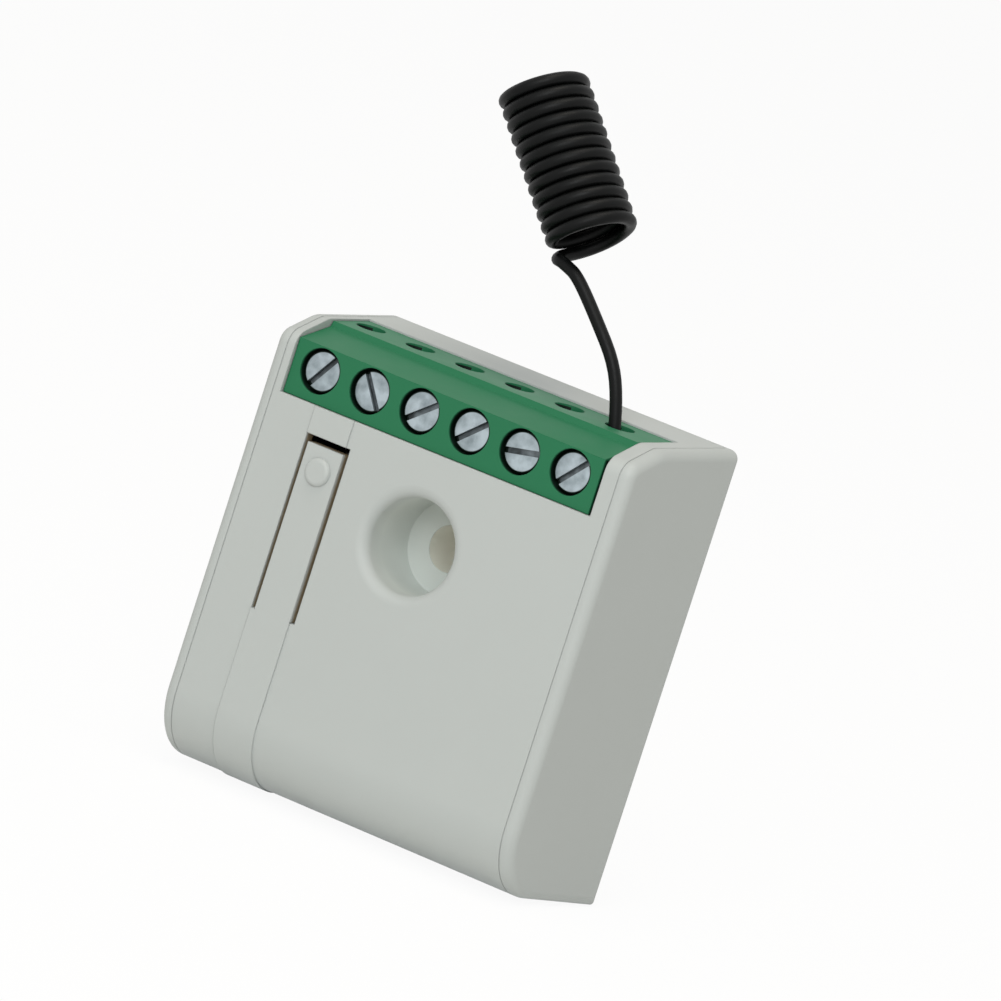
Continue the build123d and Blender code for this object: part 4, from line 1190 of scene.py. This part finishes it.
@dataclass
class SolderJoints:
    """Solder cone round each lead behind the board. Millimetres: x, height and radius."""

    height: float = 0.75
    tip_share: float = 0.42
    sides: int = 20
    rows: int = 4
    spots: tuple[Corner, ...] = (
        (-13.2, 32.85, 1.0), (-8.12, 32.85, 1.0), (-3.04, 32.85, 1.0), (2.04, 32.85, 1.0),
        (7.12, 32.85, 1.0), (12.2, 32.85, 1.0), (11.7, 15.975, 1.0), (11.7, 18.675, 1.0),
        (-12.6, 25.65, 0.75), (-12.6, 30.15, 0.75), (-7.8, 25.65, 0.75), (-7.8, 30.15, 0.75),
        (-3.1, 6.5, 0.7), (-3.1, 14.0, 0.7), (-12.45, 11.7, 0.7), (-9.95, 11.7, 0.7),
        (7.6, 23.325, 0.7), (12.6, 24.525, 0.7), (2.6, 3.1, 0.6), (2.6, 11.0, 0.6),
        (1.13, 12.9, 0.55), (2.4, 12.9, 0.55), (3.67, 12.9, 0.55), (-13.9, 17.6, 0.7),
        (-11.9, 17.6, 0.7), (-9.9, 17.6, 0.7), (-7.9, 17.6, 0.7),
    )

    def build(self, material: Material) -> None:
        """Sets a cone on every spot with Geometry Nodes."""
        host = bpy.data.meshes.new("solder_spots")
        host.from_pydata([tuple(at(x, BOARD_BACK, z)) for x, z, _ in self.spots], [], [])
        widths = host.attributes.new("reach", "FLOAT", "POINT")
        widths.data.foreach_set("value", [radius * MM for _, _, radius in self.spots])
        recipe = GeometryRecipe("solder_cones", {
            "Cone Height": self.height * MM, "Tip Share": self.tip_share})
        cone = recipe.signal("GeometryNodeMeshCone", {
            "Vertices": self.sides, "Side Segments": self.rows, "Radius Bottom": 1.0,
            "Radius Top": recipe.given("Tip Share"), "Depth": recipe.given("Cone Height")}, "Mesh")
        reach = recipe.signal("GeometryNodeInputNamedAttribute", {"Name": "reach"}, "Attribute",
                              data_type="FLOAT")
        cones = recipe.signal("GeometryNodeInstanceOnPoints", {
            "Points": recipe.given("Geometry"), "Instance": cone,
            "Rotation": (-math.pi / 2, 0.0, 0.0), "Scale": recipe.vector(reach, reach, 1.0)})
        piece = recipe.bake("solder_joints", cones, material, host)
        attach(piece, "module")
        log.info("%d solder joints", len(self.spots))


@dataclass
class Case:
    """Front cover, rear housing and learn button."""

    finish: CasePlastic = CasePlastic(
        "case_plastic", rgb(182, 187, 186), roughness=0.55, gloss=0.4, grain=0.14 * MM,
        grain_depth=0.0035 * MM, cloud=0.018, edge=0.16 * MM)

    def dress(self) -> Material:
        """Dresses the case and returns the same plastic with sharp edges, for thin pieces."""
        dress(self.finish, "front_cover", "rear_housing", "learn_button")
        return dress(replace(self.finish, name="thin_case_plastic", edge=0.0))


@dataclass
class TerminalBlock:
    """Green block with its screws, clamps and contact bars."""

    body: TerminalPlastic = TerminalPlastic(
        "terminal_plastic", rgb(34, 110, 74), roughness=0.5, gloss=0.25, grain=0.18 * MM,
        grain_depth=0.004 * MM, cloud=0.05, edge=0.14 * MM)
    screw: ScrewSteel = ScrewSteel(
        "screw_steel", rgb(182, 194, 200), rgb(140, 151, 156), roughness=0.5, patch=1.3 * MM,
        depth=0.005 * MM, metallic=0.8)
    cage: PlatedMetal = PlatedMetal(
        "cage_steel", rgb(205, 204, 198), rgb(160, 158, 150), roughness=0.34)
    bar: PlatedMetal = PlatedMetal(
        "contact_metal", rgb(214, 196, 140), rgb(178, 150, 92), roughness=0.36)

    def dress(self) -> tuple[Material, Material]:
        """Dresses the block and returns the materials of its screws and contact bars."""
        dress(self.body, "terminal_body")
        screw = dress(self.screw, *(f"terminal_screw_{way}" for way in TERMINALS))
        dress(self.cage, *(f"clamp_cage_{way}" for way in TERMINALS))
        return screw, dress(self.bar, "contact_bars")


@dataclass
class Relay:
    """The relay with its coil, iron and contacts, and the switch's plate and dome."""

    cover: MouldedPlastic = MouldedPlastic(
        "relay_plastic", rgb(38, 42, 50), roughness=0.4, cloud=0.08)
    bobbin: MouldedPlastic = MouldedPlastic("bobbin_plastic", rgb(226, 222, 204))
    iron: PlatedMetal = PlatedMetal(
        "soft_iron", rgb(188, 188, 184), rgb(140, 138, 130), roughness=0.4)
    spring: PlatedMetal = PlatedMetal(
        "spring_metal", rgb(206, 152, 104), rgb(168, 112, 70), roughness=0.3)
    wire: PlatedMetal = PlatedMetal(
        "copper_wire", rgb(196, 108, 62), rgb(150, 74, 40), roughness=0.34)
    contact: PlatedMetal = PlatedMetal(
        "relay_contact_metal", rgb(220, 206, 164), rgb(186, 166, 116))

    def dress(self) -> Material:
        """Dresses the relay and returns the material of its wire."""
        dress(self.cover, "relay_cover", "relay_base")
        dress(self.iron, "relay_core", "relay_yoke", "relay_armature", "switch_plate")
        dress(self.bobbin, "relay_bobbin")
        dress(self.spring, "relay_spring", "switch_dome")
        dress(self.contact, "relay_contacts")
        return dress(self.wire, "relay_winding")


@dataclass
class Electronics:
    """The circuit boards and what is soldered to them.

    Millimetres. Bare metal starts at a depth, at a height or at a distance from a part's middle.
    """

    radio_board: Span = (7.6, 8.4)
    can_leads: float = 11.02
    varistor_leads: float = 11.2
    resistor_leads: float = 11.56
    transistor_leads: float = 9.22
    header_pins: float = 11.62
    controller_leads: float = 2.0
    controller_middle: float = 8.0
    chip_tin: float = 22.1  # the upper row of small chips is tinned all over

    def dress(self) -> None:
        """Dresses the boards and the components."""
        def behind(depth: float) -> float:
            """Y in metres of that depth in millimetres."""
            return FRONT_Y + depth * MM

        pins = behind(BOARD_FRONT)
        radio_front, radio_back = self.radio_board
        black = rgb(40, 40, 42)
        finishes: dict[str, Finish] = {
            "circuit_board": BoardLaminate("board_laminate", BOARD_FRONT * MM, BOARD_BACK * MM),
            "radio_board": BoardLaminate("radio_laminate", radio_front * MM, radio_back * MM),
            "film_capacitor": LeadedPart("film_case", rgb(214, 176, 66), 0.32, pins, coat=0.3),
            "electrolytic_capacitor": LeadedPart(
                "can_sleeve", rgb(38, 48, 84), 0.25, self.can_leads * MM, Axis.Z, coat=0.5),
            "varistor": LeadedPart(
                "disc_coating", rgb(40, 92, 168), 0.3, behind(self.varistor_leads), coat=0.5),
            "fuse_resistor": LeadedPart(
                "resistor_coating", rgb(142, 70, 52), 0.5, behind(self.resistor_leads)),
            "relay_transistor": LeadedPart(
                "transistor_plastic", black, 0.5, behind(self.transistor_leads)),
            "radio_header": LeadedPart(
                "header_plastic", rgb(34, 34, 36), 0.5, behind(self.header_pins)),
            "radio_chip": MouldedPlastic("chip_plastic", rgb(42, 42, 44), cloud=0.1),
            "radio_crystal": PlatedMetal(
                "crystal_can", rgb(220, 220, 216), rgb(190, 190, 184), roughness=0.25),
            "controller_chip": LeadedPart(
                "controller_plastic", black, 0.5, self.controller_leads * MM, Axis.X, Side.BOTH,
                self.controller_middle * MM),
            "rectifier_diodes": MouldedPlastic("diode_plastic", rgb(46, 46, 48), cloud=0.1),
            "chip_parts": LeadedPart(
                "chip_ceramic", rgb(156, 134, 104), 0.45, self.chip_tin * MM, Axis.Z),
            "switch_body": LeadedPart("switch_plastic", rgb(44, 44, 46), 0.45, pins),
            "switch_plunger": MouldedPlastic(
                "plunger_plastic", rgb(56, 56, 58), roughness=0.45, cloud=0.08),
        }
        for node, finish in finishes.items():
            dress(finish, node)


@dataclass(frozen=True)
class SoftLamp:
    """A square soft lamp.

    Args:
        name: Name of the lamp.
        place: Where it hangs.
        power: Power in watts.
        colour: Colour of its light.
        aim: Point that it faces.
        size: Length of its sides.
    """

    name: str
    place: Corner
    power: float
    colour: Colour
    aim: Corner = (0.0, 0.0, 0.02)
    size: float = 0.5

    def hang(self) -> None:
        """Adds the lamp to the scene."""
        data = bpy.data.lights.new(self.name, "AREA")
        data.size = self.size
        data.energy = self.power
        data.color = self.colour
        lamp = bpy.data.objects.new(self.name, data)
        bpy.context.scene.collection.objects.link(lamp)
        way = Vector(self.aim) - Vector(self.place)
        lamp.location = self.place
        lamp.rotation_mode = "QUATERNION"
        lamp.rotation_quaternion = way.to_track_quat("-Z", "Y")


@dataclass
class Studio:
    """Pale floor, soft lamps and an even sky. Metres."""

    floor_size: float = 3.0
    floor_drop: float = 0.02 * MM
    floor_colour: Colour = (0.93, 0.93, 0.92)
    floor_white: float = 0.93
    white: Colour = (1.0, 1.0, 1.0)
    sky: float = 0.43
    sky_colour: Colour = (1.0, 0.975, 0.91)
    background: float = 1.0
    lamps: tuple[SoftLamp, ...] = (
        SoftLamp("key_lamp", (0.27, -0.73, 0.47), 3.75, (0.96, 0.99, 1.0)),
        SoftLamp("top_lamp", (0.05, -0.2, 0.92), 2.9, (1.0, 0.93, 0.82)),
    )

    def seen(self, bench: Bench) -> Signal:
        """1 for the camera's rays and those that a shine or a clear piece sends on, else 0."""
        path = bench.node("ShaderNodeLightPath")
        camera, shine, clear = (Signal(bench, path.outputs[f"Is {kind} Ray"])
                                for kind in ("Camera", "Glossy", "Transmission"))
        return camera.largest(shine).largest(clear)

    def floor(self) -> None:
        """Makes the floor, which shows white and keeps a soft shadow."""
        def square(work: Work) -> None:
            """Adds one flat face."""
            half = self.floor_size / 2
            work.faces.new([work.verts.new((x * half, y * half, -self.floor_drop))
                            for x, y in ((-1, -1), (1, -1), (1, 1), (-1, 1))])

        bench = MaterialBench("floor_white")
        paint = bench.signal("ShaderNodeBsdfDiffuse", {"Color": (*self.floor_colour, 1.0)})
        glow = bench.signal("ShaderNodeEmission", {
            "Color": (*self.white, 1.0), "Strength": self.background})
        shown = bench.signal("ShaderNodeMixShader", {
            0: self.seen(bench) * self.floor_white, 1: paint, 2: glow})
        bench.node("ShaderNodeOutputMaterial", {"Surface": shown})
        piece = piece_by("studio_floor", square, bench.material)

    def sky_light(self) -> None:
        """Makes the even sky, which the camera and reflections see as white."""
        world = bpy.data.worlds.new("studio_sky")
        world.use_nodes = True
        world.node_tree.nodes.clear()
        bench = Bench(world.node_tree)
        seen = self.seen(bench)
        tint = bench.blend(seen, self.sky_colour, self.white)
        sky = bench.signal("ShaderNodeBackground", {
            "Color": tint, "Strength": seen.ramp(0, 1, self.sky, self.background)})
        bench.node("ShaderNodeOutputWorld", {"Surface": sky})
        bpy.context.scene.world = world

    def build(self) -> None:
        """Sets up floor, sky and lamps."""
        self.floor()
        self.sky_light()
        for lamp in self.lamps:
            lamp.hang()
        bpy.context.scene.view_settings.view_transform = "Standard"
        log.info("studio")


def main() -> None:
    """Builds the scene piece by piece."""
    logging.basicConfig(level=logging.INFO, format="%(name)s: %(message)s")
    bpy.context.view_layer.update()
    Photographer().build()
    relay_wire = Relay().dress()
    AntennaWire().build(WireCover("wire_cover", rgb(5, 6, 6)).make(), relay_wire)
    case = Case().dress()
    screw, bar = TerminalBlock().dress()
    Electronics().dress()
    LearnButtonRoot().build(case)
    SeamWeld().build(case)
    RelayWinding().build(relay_wire)
    ScrewThreads().build(screw)
    SolderJoints().build(bar)
    Studio().build()


if __name__ == "__main__":
    main()
